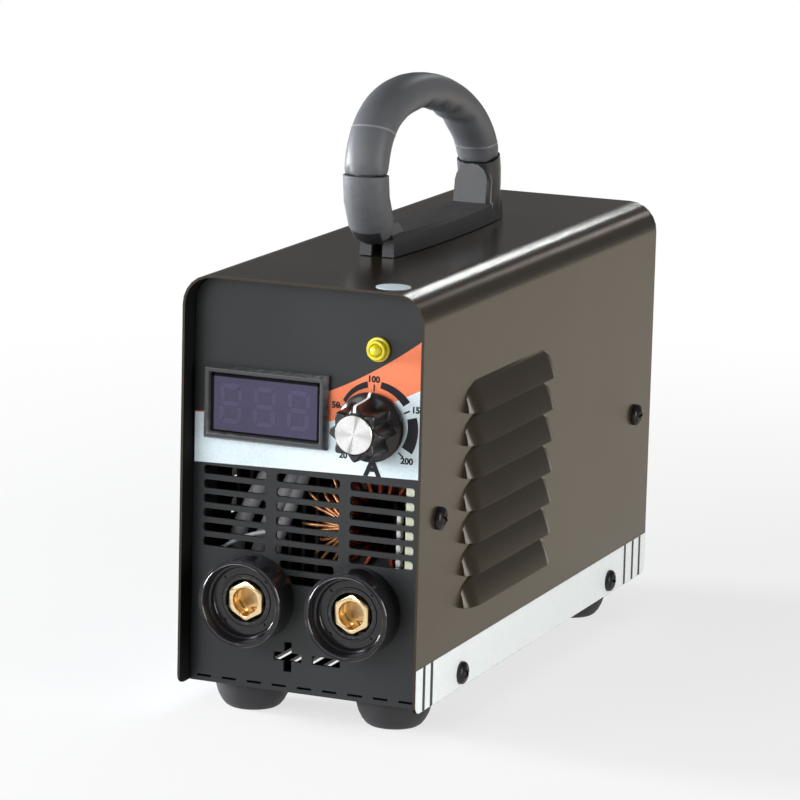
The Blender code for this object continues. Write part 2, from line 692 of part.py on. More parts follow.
def build_rear_panel(casing):
    """Rear panel with the stamped fan grille, a foot flange and two tabs."""
    bm = bmesh.new()
    lift = PANEL_SHEET + GAP
    prism(bm, panel_outline(GAP), -PANEL_SHEET, 0.0, moved(REARWARD, 0, REAR_FACE, 0))
    panel = piece("rear_panel", bm, "panel_coat", casing)
    folds = bmesh.new()
    flange_half = INNER_HALF - 3 * PANEL_SHEET
    box(folds, (-flange_half, REAR_FACE - PANEL_SHEET - FLANGE_HEIGHT, lift),
        (flange_half, REAR_FACE - PANEL_SHEET / 2, lift + PANEL_SHEET))
    for side in (-1, 1):
        tab_box(folds, side, 1)
    fuse(panel, folds)
    holes = bmesh.new()
    axis = moved(REARWARD, 0, REAR_FACE, CASE_HEIGHT - FAN_DROP)
    for outline in grille_outlines():
        prism(holes, outline, -PANEL_SHEET - CUT, CUT, axis)
    for x, z in fan_screw_places():
        at = axis @ Matrix.Translation((x, z, 0))
        cylinder(holes, FAN_SCREW_RADIUS + GAP, -PANEL_SHEET - CUT, CUT, 10, at)
    body = rectangle(SWITCH_WIDTH - 2 * SWITCH_LIP + 2 * GAP, SWITCH_HEIGHT - 2 * SWITCH_LIP + 2 * GAP)
    prism(holes, body, -PANEL_SHEET - CUT, CUT, moved(REARWARD, SWITCH_X, REAR_FACE, SWITCH_Z))
    at = moved(REARWARD, GLAND_X, REAR_FACE, GLAND_Z)
    cylinder(holes, GLAND_THREAD + GAP, -PANEL_SHEET - CUT, CUT, 20, at)
    high = SIDE_SCREW_HIGH[1]
    tab_holes(holes, [place for place in side_screw_places() if place[0] > 0 and place[1] == high])
    cut(panel, holes)


def build_side_screws(casing):
    """Four pan-head screws in each side wall."""
    for facing, sign in (("right", 1), ("left", -1)):
        for number, (depth, height) in enumerate(side_screw_places(), 1):
            bm = turned(bmesh.new(), pan_head(SIDE_HEAD_RADIUS, SIDE_HEAD_HEIGHT, SIDE_SHANK_RADIUS,
                                              SIDE_SHANK_LENGTH), 8)
            place = (sign * HALF_WIDTH, depth, height)
            piece(f"side_screw_{facing}_{number}", bm, "black_screw", casing, place, facing)


def build_feet(casing):
    """Rubber feet with a stem that snaps into the floor."""
    tall = FOOT_HEIGHT
    bulb = FOOT_STEM * 1.35
    above = PANEL_SHEET + GAP
    shoulder = FOOT_TREAD + (FOOT_RADIUS - FOOT_TREAD) * 0.70
    profile = [(0, -tall), (FOOT_TREAD, -tall), (shoulder, -tall * 0.70), (FOOT_RADIUS * 0.98, -tall * 0.34),
               (FOOT_RADIUS, -GAP), (FOOT_STEM, -GAP), (FOOT_STEM, above), (bulb, above),
               (FOOT_STEM * 0.8, above + FOOT_STEM), (0, above + FOOT_STEM)]
    for number, (x, y) in enumerate(foot_places(), 1):
        bm = turned(bmesh.new(), profile, 14)
        piece(f"foot_{number}", bm, "foot_rubber", casing, (x, y, 0))


# ------------------------------------------------------------------ output sockets
def build_sockets(casing):
    """Two twist-lock sockets: collar, brass contact, busbar and bolt."""
    for name, x in (("left", -SOCKET_X), ("right", SOCKET_X)):
        place = (x, FRONT_FACE, SOCKET_Z)
        rim, wall = COLLAR_REACH, COLLAR_WALL
        profile = [(0, -COLLAR_REACH / 2), (COLLAR_BOSS, -COLLAR_REACH / 2), (COLLAR_BOSS, GAP),
                   (COLLAR_RADIUS, GAP), (COLLAR_RADIUS, rim - wall / 3), (COLLAR_RADIUS - wall / 4, rim),
                   (COLLAR_RADIUS - wall * 0.8, rim), (COLLAR_RADIUS - wall, rim - wall / 4),
                   (COLLAR_RADIUS - wall * 1.1, COLLAR_FLOOR), (0, COLLAR_FLOOR)]
        collar = piece(f"socket_collar_{name}", turned(bmesh.new(), profile, 28), "black_plastic", casing,
                       place, "front")
        hole = prism(bmesh.new(), hexagon(CONTACT_FLATS + 2 * GAP), -COLLAR_REACH, COLLAR_REACH + CUT)
        cut(collar, hole)

        face = COLLAR_FLOOR + GAP
        shoulder = -COLLAR_REACH / 2 - GAP
        bm = bmesh.new()
        rings = [(0.94, face), (1.0, face - 0.0006), (1.0, shoulder)]
        loft(bm, [[(u * share, v * share, z) for u, v in hexagon(CONTACT_FLATS)] for share, z in rings])
        contact = piece(f"socket_contact_{name}", bm, "brass", casing, place, "front")
        fuse(contact, cylinder(bmesh.new(), CONTACT_FLATS / 2 * 0.97, -CONTACT_TAIL, shoulder + GAP, 16))
        bore_end = face - CONTACT_DEPTH
        groove = CONTACT_BORE * 1.1
        bores = turned(bmesh.new(), [(0, bore_end), (CONTACT_BORE * 0.75, bore_end),
                                     (CONTACT_BORE * 0.8, bore_end + 0.002), (CONTACT_BORE, bore_end + 0.002),
                                     (CONTACT_BORE, face - 0.006), (groove, face - 0.006),
                                     (groove, face - 0.0035), (CONTACT_BORE, face - 0.0035),
                                     (CONTACT_BORE, face - 0.0005), (CONTACT_BORE * 1.12, face + 0.0005),
                                     (CONTACT_BORE * 1.12, face + CUT), (0, face + CUT)], 16)
        cylinder(bores, BOLT_RADIUS + GAP, -CONTACT_TAIL - CUT, -CONTACT_TAIL + BOLT_GRIP + GAP, 12)
        cut(contact, bores)
        build_busbar(casing, name, place)


def build_busbar(casing, name, place):
    """Copper strip from the contact down to the board, and the bolt that clamps it."""
    front = -CONTACT_TAIL - GAP
    back = front - BUSBAR_THICKNESS
    foot_low = BOARD_TOP + GAP - SOCKET_Z
    half = BUSBAR_WIDTH / 2
    bm = bmesh.new()
    section = [(-front, half), (-front, foot_low), (-back + BUSBAR_FOOT, foot_low),
               (-back + BUSBAR_FOOT, foot_low + BUSBAR_THICKNESS), (-back, foot_low + BUSBAR_THICKNESS),
               (-back, half)]
    prism(bm, section, -half, half, RIGHTWARD)
    bar = piece(f"busbar_{name}", bm, "copper", casing, place)
    cut(bar, cylinder(bmesh.new(), BOLT_RADIUS + GAP, back - CUT, front + CUT, 12, FORWARD))
    seat = back - GAP
    bm = bmesh.new()
    prism(bm, hexagon(BOLT_FLATS), seat - BOLT_HEAD, seat)
    bolt = piece(f"socket_bolt_{name}", bm, "zinc_steel", casing, place, "front")
    fuse(bolt, cylinder(bmesh.new(), BOLT_RADIUS, seat - GAP, -CONTACT_TAIL + BOLT_GRIP, 12))


# ------------------------------------------------------------------ controls
def build_display(casing):
    """Snap-in digital meter: housing, tinted window and digit module."""
    place = (DISPLAY_X, FRONT_FACE, CASE_HEIGHT - DISPLAY_DROP)
    body_width, body_height = DISPLAY_WIDTH - 2 * DISPLAY_WALL, DISPLAY_HEIGHT - 2 * DISPLAY_WALL
    bm = bmesh.new()
    frame = [(0.0, GAP), (0.0, DISPLAY_PROUD * 0.55), (0.0009, DISPLAY_PROUD)]
    rings = [[(u, v, z) for u, v in rectangle(DISPLAY_WIDTH - 2 * inset, DISPLAY_HEIGHT - 2 * inset)]
             for inset, z in frame]
    loft(bm, rings)
    housing = piece("display_bezel", bm, "black_plastic", casing, place, "front")
    fuse(housing, prism(bmesh.new(), rectangle(body_width, body_height), -DISPLAY_BODY, DISPLAY_PROUD / 2))
    window_width, window_height = DISPLAY_WIDTH - 2 * DISPLAY_RIM, DISPLAY_HEIGHT - 2 * DISPLAY_RIM
    ledge = DISPLAY_PROUD - WINDOW_SINK - WINDOW_THICKNESS - GAP
    lip = 0.0006
    mouth = bmesh.new()
    loft(mouth, [[(u, v, z) for u, v in rectangle(window_width + 2 * grow, window_height + 2 * grow)]
                 for grow, z in ((0, ledge), (0, DISPLAY_PROUD - WINDOW_SINK), (lip, DISPLAY_PROUD + GAP))])
    cut(housing, mouth)
    inner = rectangle(window_width - 2 * lip, window_height - 2 * lip)
    cut(housing, prism(bmesh.new(), inner, -DISPLAY_BODY - CUT, ledge + GAP))
    pane = rectangle(window_width - 2 * GAP, window_height - 2 * GAP)
    piece("display_window", prism(bmesh.new(), pane, ledge + GAP, ledge + GAP + WINDOW_THICKNESS),
          "tinted_window", casing, place, "front")
    block = rectangle(window_width - 2 * lip - 2 * GAP, window_height - 2 * lip - 2 * GAP)
    piece("display_module", prism(bmesh.new(), block, ledge - MODULE_THICKNESS, ledge), "digit_grey", casing,
          place, "front")


def build_lamp(casing):
    """Indicator lamp: flanged holder and its lens."""
    place = (LAMP_X, FRONT_FACE, CASE_HEIGHT - LAMP_DROP)
    bore = LENS_RADIUS + GAP
    profile = [(bore, -LAMP_TAIL), (LAMP_BODY, -LAMP_TAIL), (LAMP_BODY, GAP), (LAMP_FLANGE, GAP),
               (LAMP_FLANGE, LAMP_PROUD * 0.35), (LAMP_FLANGE * 0.86, LAMP_PROUD * 0.55),
               (LAMP_FLANGE * 0.80, LAMP_PROUD * 0.9), (LAMP_FLANGE * 0.70, LAMP_PROUD), (bore, LAMP_PROUD)]
    piece("lamp_holder", turned(bmesh.new(), profile, 16), "amber_plastic", casing, place, "front")
    rim = LAMP_PROUD - 0.0006
    dome = [(LENS_RADIUS * math.cos(math.radians(a)), rim + LENS_RADIUS * math.sin(math.radians(a)))
            for a in (0, 30, 60)]
    profile = [(0, -LAMP_TAIL), (LENS_RADIUS, -LAMP_TAIL)] + dome + [(0, rim + LENS_RADIUS)]
    piece("lamp_lens", turned(bmesh.new(), profile, 12), "amber_plastic", casing, place, "front")


def knob_lobes(radius, height):
    """Share of the radius that the knob's flutes leave at each angle."""
    fluted = KNOB_REACH * 0.27 < height and radius > CAP_RADIUS * 1.15
    depth = KNOB_FLUTE / radius if fluted else 0.0
    return lambda angle: 1.0 - depth * (0.5 + 0.5 * math.cos(KNOB_LOBES * angle)) ** 1.5


def build_knob(casing):
    """Fluted knob with its cap and shaft; all three turn together about the shaft's axis."""
    place = (KNOB_X, FRONT_FACE, CASE_HEIGHT - KNOB_DROP)
    step = KNOB_REACH * 0.28
    cavity = NUT_FLATS / math.sqrt(3) + 0.001
    cavity_top = BUSHING_REACH + 2 * GAP
    shaft_top = SHAFT_REACH + GAP
    recess = CAP_RADIUS + GAP
    recess_floor = KNOB_REACH - 0.0009
    profile = [(0, recess_floor), (recess, recess_floor), (recess, KNOB_REACH),
               (KNOB_TOP - 0.0008, KNOB_REACH), (KNOB_TOP, KNOB_REACH - 0.0009),
               (KNOB_BODY, step), (KNOB_SKIRT - 0.0012, step - GAP),
               (KNOB_SKIRT, step - 0.0016), (KNOB_SKIRT, KNOB_CLEAR), (cavity, KNOB_CLEAR),
               (cavity, cavity_top), (SHAFT_RADIUS + GAP, cavity_top), (SHAFT_RADIUS + GAP, shaft_top),
               (0, shaft_top)]
    bm = turned(bmesh.new(), profile, 5 * KNOB_LOBES, swell=knob_lobes)
    piece("knob", bm, "black_plastic", casing, place, "front")
    seat, top = recess_floor + GAP, KNOB_REACH + CAP_PROUD
    profile = [(0, seat), (CAP_RADIUS, seat), (CAP_RADIUS, top - 0.0003),
               (CAP_RADIUS - 0.0004, top), (0, top)]
    piece("knob_cap", turned(bmesh.new(), profile, 32), "spun_aluminium", casing, place, "front")
    bottom = -POT_DEPTH / 2
    bm = cylinder(bmesh.new(), SHAFT_RADIUS, bottom, SHAFT_REACH, 14)
    piece("pot_shaft", bm, "zinc_steel", casing, place, "front")
    profile = [(0, BEHIND - POT_DEPTH), (POT_RADIUS, BEHIND - POT_DEPTH), (POT_RADIUS, BEHIND),
               (BUSHING_RADIUS, BEHIND), (BUSHING_RADIUS, BUSHING_REACH), (SHAFT_RADIUS + GAP, BUSHING_REACH),
               (SHAFT_RADIUS + GAP, bottom - GAP), (0, bottom - GAP)]
    piece("potentiometer", turned(bmesh.new(), profile, 20), "zinc_steel", casing, place, "front")
    bm = prism(bmesh.new(), hexagon(NUT_FLATS), GAP, GAP + NUT_HEIGHT)
    nut = piece("pot_nut", bm, "zinc_steel", casing, place, "front")
    cut(nut, cylinder(bmesh.new(), BUSHING_RADIUS + GAP, -CUT, NUT_HEIGHT + CUT, 20))


# ------------------------------------------------------------------ handle
# centre line of the handle as shares of half its span and of its rise, from the front foot to the rear
HANDLE_LINE = ((-0.79, 0.12), (-0.955, 0.33), (-1.0, 0.595), (-0.90, 0.82), (-0.66, 0.955), (-0.30, 1.0),
               (0.12, 0.955), (0.55, 0.81), (0.865, 0.60), (0.99, 0.36), (0.985, 0.08))


def handle_line():
    """Closely spaced points (y, z) of the handle's centre line, and their distance from the start."""
    knots = [Vector((HANDLE_Y + u * HANDLE_SPAN / 2, CASE_HEIGHT + v * HANDLE_RISE)) for u, v in HANDLE_LINE]
    knots = [2 * knots[0] - knots[1]] + knots + [2 * knots[-1] - knots[-2]]
    points = []
    for a, b, c, d in zip(knots, knots[1:], knots[2:], knots[3:]):
        for i in range(16):
            t = i / 16
            points.append(0.5 * (2 * b + (c - a) * t + (2 * a - 5 * b + 4 * c - d) * t ** 2
                                 + (3 * b - a - 3 * c + d) * t ** 3))
    points.append(knots[-2])
    runs = [0.0]
    for a, b in zip(points, points[1:]):
        runs.append(runs[-1] + (b - a).length)
    return points, runs


def line_point(points, runs, run):
    """Place on the centre line at a distance from its start."""
    index = max(1, min(len(runs) - 1, sum(1 for r in runs if r < run)))
    a, b = points[index - 1], points[index]
    return a + (b - a) * (run - runs[index - 1]) / (runs[index] - runs[index - 1])


def line_frame(points, runs, run, shift=0.0):
    """Place and direction of the centre line at a distance from its start, shifted straight ahead."""
    reach = HANDLE_THICKNESS / 8
    along = (line_point(points, runs, run + reach) - line_point(points, runs, run - reach)).normalized()
    return line_point(points, runs, run) + along * shift, along


def handle_ring(points, runs, run, sides, groove=0.0, swell=1.0, shift=0.0):
    """Superellipse section of the handle; the groove takes its depth off the inner side."""
    centre, along = line_frame(points, runs, run, shift)
    outward = Vector((-along[1], along[0]))
    ring = []
    for i in range(sides):
        angle = math.tau * i / sides
        c, s = math.cos(angle), math.sin(angle)
        across = HANDLE_WIDTH / 2 * swell * math.copysign(abs(c) ** (2 / HANDLE_SQUARE), c)
        up = HANDLE_THICKNESS / 2 * swell * math.copysign(abs(s) ** (2 / HANDLE_SQUARE), s)
        if s < 0:
            up -= groove * s
        point = centre + outward * up
        ring.append((across, point[0], point[1]))
    return ring


def spigot_frame(points, runs, run, direction):
    """Frame on the centre line whose Z runs along it, forwards or backwards."""
    centre, along = line_frame(points, runs, run)
    z = Vector((0, along[0], along[1])) * direction
    x = Vector((1, 0, 0))
    y = z.cross(x)
    return Matrix(((x[0], y[0], z[0], 0), (x[1], y[1], z[1], centre[0]), (x[2], y[2], z[2], centre[1]),
                   (0, 0, 0, 1)))


def saddle_ring(inset, z):
    """Boat-shaped outline of the saddle, drawn in by an inset, at a height."""
    front, rear = -HALF_DEPTH + SADDLE_FRONT + inset, -HALF_DEPTH + SADDLE_REAR - inset
    steps = 8
    ring = []
    for side in (1, -1):
        for step in range(steps + 1):
            share = step / steps if side == 1 else 1 - step / steps
            width = SADDLE_END + (SADDLE_HALF - SADDLE_END) * (1 - (2 * share - 1) ** 2) - inset
            ring.append((side * width, front + (rear - front) * share, z))
    return ring


def build_handle(casing):
    """Handle frame with saddle and legs, the grip that bridges them, and the screws from inside."""
    points, runs = handle_line()
    length = runs[-1]
    low, top = CASE_HEIGHT + GAP, CASE_HEIGHT + SADDLE_HEIGHT
    bevel = 0.0012
    bm = bmesh.new()
    loft(bm, [saddle_ring(-bevel / 3, low), saddle_ring(0, top - bevel), saddle_ring(bevel, top)])
    frame = piece("handle_frame", bm, "black_plastic", casing, smooth=40)
    hollow = bmesh.new()
    front = -HALF_DEPTH + SADDLE_FRONT
    box(hollow, (-FORK_GAP / 2, front - FORK_LENGTH / 2, low - CUT),
        (FORK_GAP / 2, front + FORK_LENGTH, top - FORK_ROOF))
    for sign in (-1, 1):
        at = moved(UPRIGHT, 0, HANDLE_Y + sign * HANDLE_SCREW_Y, CASE_HEIGHT)
        depth = HANDLE_SCREW_LENGTH - COVER_SHEET + GAP
        cylinder(hollow, HANDLE_SCREW_RADIUS + GAP, -CUT, depth, 12, at)
    cut(frame, hollow)
    legs = bmesh.new()
    for seam, foot in ((FRONT_SEAM, 0.0), (length - REAR_SEAM, length)):
        side = 1 if foot > seam else -1
        start = foot - side * LEG_TIP
        rings = [handle_ring(points, runs, seam, 14, shift=side * GAP / 2),
                 handle_ring(points, runs, (seam + start) / 2, 14)]
        for away in (1.0, 0.5, 0.2, 0.05) if side < 0 else (1.0, 0.4, 0.0):
            swell = (1 - (1 - away) ** 2.6) ** (1 / 2.6) if side < 0 else 1.0
            rings.append(handle_ring(points, runs, foot - side * LEG_TIP * away, 14, swell=swell))
        loft(legs, rings)
    fuse(frame, legs)
    slope = [(front + bevel, top - bevel), (front + bevel, top + SHOULDER_HEIGHT),
             (front + SHOULDER_LENGTH / 2, top + SHOULDER_HEIGHT), (front + SHOULDER_LENGTH, top - bevel)]
    fuse(frame, prism(bmesh.new(), slope, -SADDLE_END + bevel, SADDLE_END - bevel, RIGHTWARD))
    spigots = bmesh.new()
    for seam, direction in ((FRONT_SEAM, 1), (length - REAR_SEAM, -1)):
        at = spigot_frame(points, runs, seam, direction)
        cylinder(spigots, SPIGOT_RADIUS, -SPIGOT_LENGTH / 2, SPIGOT_LENGTH, 12, at)
    fuse(frame, spigots)
    fuse(frame, build_tongue(points, runs, length))
    build_grip(casing, points, runs, length)
    for name, sign in (("front", -1), ("rear", 1)):
        profile = pan_head(HANDLE_HEAD_RADIUS, HANDLE_HEAD_HEIGHT, HANDLE_SCREW_RADIUS, HANDLE_SCREW_LENGTH)
        bm = turned(bmesh.new(), [(r, -h) for r, h in profile[::-1]], 12)
        piece(f"handle_screw_{name}", bm, "zinc_steel", casing,
              (0, HANDLE_Y + sign * HANDLE_SCREW_Y, CASE_HEIGHT - COVER_SHEET))


def build_tongue(points, runs, length):
    """Round-topped cover plate on the inner face of the rear leg."""
    centre, _ = line_frame(points, runs, length - REAR_SEAM * 0.42)
    half, tall = HANDLE_WIDTH * 0.40, REAR_SEAM * 0.36
    inner = HANDLE_THICKNESS / 2
    outline = [(-half, -tall)] + [(half * math.cos(a), tall - half * 0.7 + half * math.sin(a))
                                  for a in (math.pi * (1 - i / 8) for i in range(9))] + [(half, -tall)]
    lean = Matrix.Rotation(math.radians(-8), 4, "X")
    at = moved(FORWARD, 0, centre[0] - inner, centre[1]) @ lean
    return prism(bmesh.new(), outline, -inner / 2, HANDLE_THICKNESS * 0.16, at)


def build_grip(casing, points, runs, length):
    """Overmoulded grip between the two seams, with finger grooves on its inner side."""
    start, stop = FRONT_SEAM, length - REAR_SEAM
    stations = []
    for low, high, steps in ((start, FINGER_START, 7), (FINGER_START, FINGER_END, 4 * FINGER_COUNT),
                             (FINGER_END, stop, 5)):
        stations += [low + (high - low) * i / steps for i in range(steps)]
    stations.append(stop)
    count = len(stations) - 1
    rings = []
    for i, run in enumerate(stations):
        share = (run - FINGER_START) / (FINGER_END - FINGER_START)
        inside = 0.0 <= share <= 1.0
        groove = FINGER_DEPTH * math.sin(math.pi * share * FINGER_COUNT) ** 2 if inside else 0.0
        shift = GAP / 2 if i == 0 else -GAP / 2 if i == count else 0.0
        rings.append(handle_ring(points, runs, run, 14, groove, shift=shift))
    grip = piece("handle_grip", loft(bmesh.new(), rings), "handle_rubber", casing, smooth=50)
    sockets = bmesh.new()
    for run, direction in ((start, 1), (stop, -1)):
        at = spigot_frame(points, runs, run, direction)
        cylinder(sockets, SPIGOT_RADIUS + GAP, -CUT, SPIGOT_LENGTH + GAP, 12, at)
    cut(grip, sockets)


# ------------------------------------------------------------------ fan, switch and gland at the rear
def build_fan(casing):
    """Axial fan: frame with hub plate and struts, rotor with twisted blades, and its screws."""
    place = (0, REAR_FACE, CASE_HEIGHT - FAN_DROP)
    face = BEHIND
    back = face - FAN_DEPTH
    corner = FAN_SIZE * 0.06
    square = rectangle(FAN_SIZE, FAN_SIZE, corner, steps=2)
    bm = prism(bmesh.new(), square, back, back + FAN_FLANGE)
    frame = piece("fan_frame", bm, "black_plastic", casing, place, "rear")
    low, high = back + FAN_FLANGE / 2, face - FAN_FLANGE / 2
    fuse(frame, cylinder(bmesh.new(), FAN_SIZE / 2 - 0.0005, low, high, 24))
    fuse(frame, prism(bmesh.new(), square, face - FAN_FLANGE, face))
    bore = cylinder(bmesh.new(), FAN_BORE, back - CUT, face + CUT, 28)
    for x, z in fan_screw_places():
        cylinder(bore, FAN_SCREW_RADIUS + GAP, back - CUT, face + CUT, 10, moved(UPRIGHT, x, z, 0))
    cut(frame, bore)
    plate = cylinder(bmesh.new(), FAN_HUB, face - FAN_HUB_PLATE, face, 20)
    fuse(frame, plate)
    struts = bmesh.new()
    for quarter in range(4):
        turn = Matrix.Rotation(math.radians(45 + 90 * quarter), 4, "Z")
        outline = [(FAN_HUB - 0.002, -0.0016), (FAN_BORE + 0.001, -0.0016), (FAN_BORE + 0.001, 0.0016),
                   (FAN_HUB - 0.002, 0.0016)]
        prism(struts, outline, face - FAN_HUB_PLATE * 0.9, face - FAN_HUB_PLATE * 0.1, turn)
    fuse(frame, struts)
    bearing = face - FAN_HUB_PLATE
    cut(frame, cylinder(bmesh.new(), FAN_PIN + GAP, bearing - CUT, bearing + FAN_HUB_PLATE * 0.8, 12))

    rotor_top = bearing - GAP
    rotor_bottom = back + GAP
    bm = bmesh.new()
    turned(bm, [(0, rotor_bottom), (FAN_HUB - 0.0015, rotor_bottom), (FAN_HUB, rotor_bottom + 0.0015),
                (FAN_HUB, rotor_top), (FAN_PIN, rotor_top), (FAN_PIN, rotor_top + FAN_HUB_PLATE * 0.7),
                (0, rotor_top + FAN_HUB_PLATE * 0.7)], 21)
    rotor = piece("fan_rotor", bm, "black_plastic", casing, place, "rear")
    blades = bmesh.new()
    for blade in range(FAN_BLADES):
        fan_blade(blades, Matrix.Rotation(math.tau * blade / FAN_BLADES, 4, "Z"), rotor_bottom, rotor_top)
    fuse(rotor, blades)
    for number, (x, z) in enumerate(fan_screw_places(), 1):
        bm = turned(bmesh.new(), pan_head(FAN_SCREW_HEAD, 0.0022, FAN_SCREW_RADIUS, FAN_DEPTH * 0.6), 8)
        piece(f"fan_screw_{number}", bm, "zinc_steel", casing, (place[0] - x, place[1], place[2] + z), "rear")


def fan_blade(bm, turn, bottom, top):
    """One blade, pitched steeply at the hub and flatter at the tip."""
    middle, reach = (bottom + top) / 2, (top - bottom) / 2 * 0.82
    rings = []
    stations = 4
    for station in range(stations + 1):
        share = station / stations
        radius = FAN_HUB - 0.0015 + (FAN_BORE - FAN_TIP_CLEARANCE - FAN_HUB + 0.0015) * share
        pitch = math.radians(52 - 22 * share)
        chord = 0.0062 + 0.0035 * share
        drop = min(chord * math.sin(pitch), reach)
        slide = chord * math.cos(pitch)
        sweep = 0.10 * share
        half = FAN_BLADE_THICKNESS / 2
        ring = []
        for along, thick in ((-1, -1), (0, -1), (1, -1), (1, 1), (0, 1), (-1, 1)):
            belly = 0.0008 * (1 - abs(along))
            angle = sweep + (slide * along + thick * half * math.sin(pitch)) / radius
            height = middle + drop * along - thick * half * math.cos(pitch) + belly
            ring.append(turn @ Vector((radius * math.cos(angle), radius * math.sin(angle), height)))
        rings.append(ring)
    loft(bm, rings)


def build_switch(casing):
    """Mains rocker switch: body with its pocket and terminals, and the rocker on its pins."""
    place = (SWITCH_X, REAR_FACE, SWITCH_Z)
    body_width, body_height = SWITCH_WIDTH - 2 * SWITCH_LIP, SWITCH_HEIGHT - 2 * SWITCH_LIP
    bm = bmesh.new()
    rings = ((0.0, GAP), (0.0, SWITCH_PROUD * 0.5), (0.0006, SWITCH_PROUD))
    sections = []
    for inset, z in rings:
        section = rectangle(SWITCH_WIDTH - 2 * inset, SWITCH_HEIGHT - 2 * inset, 0.0015, steps=2)
        sections.append([(u, v, z) for u, v in section])
    loft(bm, sections)
    body = piece("switch_body", bm, "black_plastic", casing, place, "rear")
    lower = bmesh.new()
    prism(lower, rectangle(body_width, body_height), -SWITCH_DEPTH, SWITCH_PROUD / 2)
    fuse(body, lower)
    blades = bmesh.new()
    for x in (-1, 1):
        for z in (-1, 1):
            outline = rectangle(0.0008, 0.0063, 0, x * body_width / 4, z * body_height / 4)
            prism(blades, outline, -SWITCH_DEPTH - 0.008, -SWITCH_DEPTH + 0.001)
    fuse(body, blades)
    swing = math.hypot(ROCKER_HALF, ROCKER_PIVOT + 0.0028)
    window = swing * math.cos(math.atan2(ROCKER_PIVOT + 0.0028, ROCKER_HALF) - ROCKER_TILT) + GAP
    pocket = bmesh.new()
    pocket_floor = SWITCH_PROUD - ROCKER_PIVOT - ROCKER_HALF
    prism(pocket, rectangle(ROCKER_WIDTH + 2 * GAP, 2 * window), pocket_floor, SWITCH_PROUD + CUT)
    cut(body, pocket)
    axis = moved(RIGHTWARD, 0, 0, SWITCH_PROUD - ROCKER_PIVOT)
    pin_reach = ROCKER_WIDTH / 2 + 0.001
    cut(body, cylinder(bmesh.new(), ROCKER_PIN + GAP, -pin_reach - GAP, pin_reach + GAP, 12, axis))

    crown = ROCKER_PIVOT + 0.0004
    tip = crown + ROCKER_HALF * math.tan(ROCKER_TILT)
    outline = [(0, crown), (ROCKER_HALF, tip), (ROCKER_HALF, -0.0005), (ROCKER_HALF * 0.55, -0.0045),
               (-ROCKER_HALF * 0.55, -0.0045), (-ROCKER_HALF, -0.0005), (-ROCKER_HALF, tip)]
    c, s = math.cos(ROCKER_TILT), math.sin(ROCKER_TILT)
    tilted = [(u * c - v * s, u * s + v * c) for u, v in outline]
    bm = prism(bmesh.new(), tilted, -ROCKER_WIDTH / 2, ROCKER_WIDTH / 2, RIGHTWARD)
    pivot = (place[0], place[1] + SWITCH_PROUD - ROCKER_PIVOT, place[2])
    rocker = piece("switch_rocker", bm, "black_plastic", casing, pivot, "rear")
    fuse(rocker, cylinder(bmesh.new(), ROCKER_PIN, -pin_reach, pin_reach, 12, RIGHTWARD))


def build_gland(casing):
    """Cable gland without its cable: body through the panel, domed cap and lock nut."""
    place = (GLAND_X, REAR_FACE, GLAND_Z)
    seat = GAP + GLAND_FLANGE
    tail = -PANEL_SHEET - GLAND_NUT - 2 * GAP - 0.001
    bm = prism(bmesh.new(), hexagon(GLAND_FLATS), GAP, seat)
    body = piece("gland_body", bm, "black_plastic", casing, place, "rear")
    fuse(body, cylinder(bmesh.new(), GLAND_THREAD, tail, seat - GAP, 16))
    neck = GLAND_BORE + (GLAND_CAP_RADIUS - GLAND_BORE) * 0.35
    fuse(body, cylinder(bmesh.new(), neck, seat - GAP, seat + GLAND_CAP_LENGTH * 0.5, 16))
    cut(body, cylinder(bmesh.new(), GLAND_BORE, tail - CUT, seat + GLAND_CAP_LENGTH + CUT, 16))
    low, high = seat + GAP, GLAND_REACH
    inside = seat + GLAND_CAP_LENGTH * 0.5 + GAP
    profile = [(neck + GAP, low), (GLAND_CAP_RADIUS, low), (GLAND_CAP_RADIUS, low + GLAND_CAP_LENGTH * 0.5),
               (GLAND_CAP_RADIUS * 0.93, low + GLAND_CAP_LENGTH * 0.75), (GLAND_CAP_RADIUS * 0.76, high),
               (GLAND_BORE, high), (GLAND_BORE, inside), (neck + GAP, inside)]
    piece("gland_cap", turned(bmesh.new(), profile, 18), "black_plastic", casing, place, "rear")
    bm = prism(bmesh.new(), hexagon(GLAND_FLATS), BEHIND - GLAND_NUT, BEHIND)
    nut = piece("gland_nut", bm, "black_plastic", casing, place, "rear")
    cut(nut, cylinder(bmesh.new(), GLAND_THREAD + GAP, BEHIND - GLAND_NUT - CUT, BEHIND + CUT, 16))


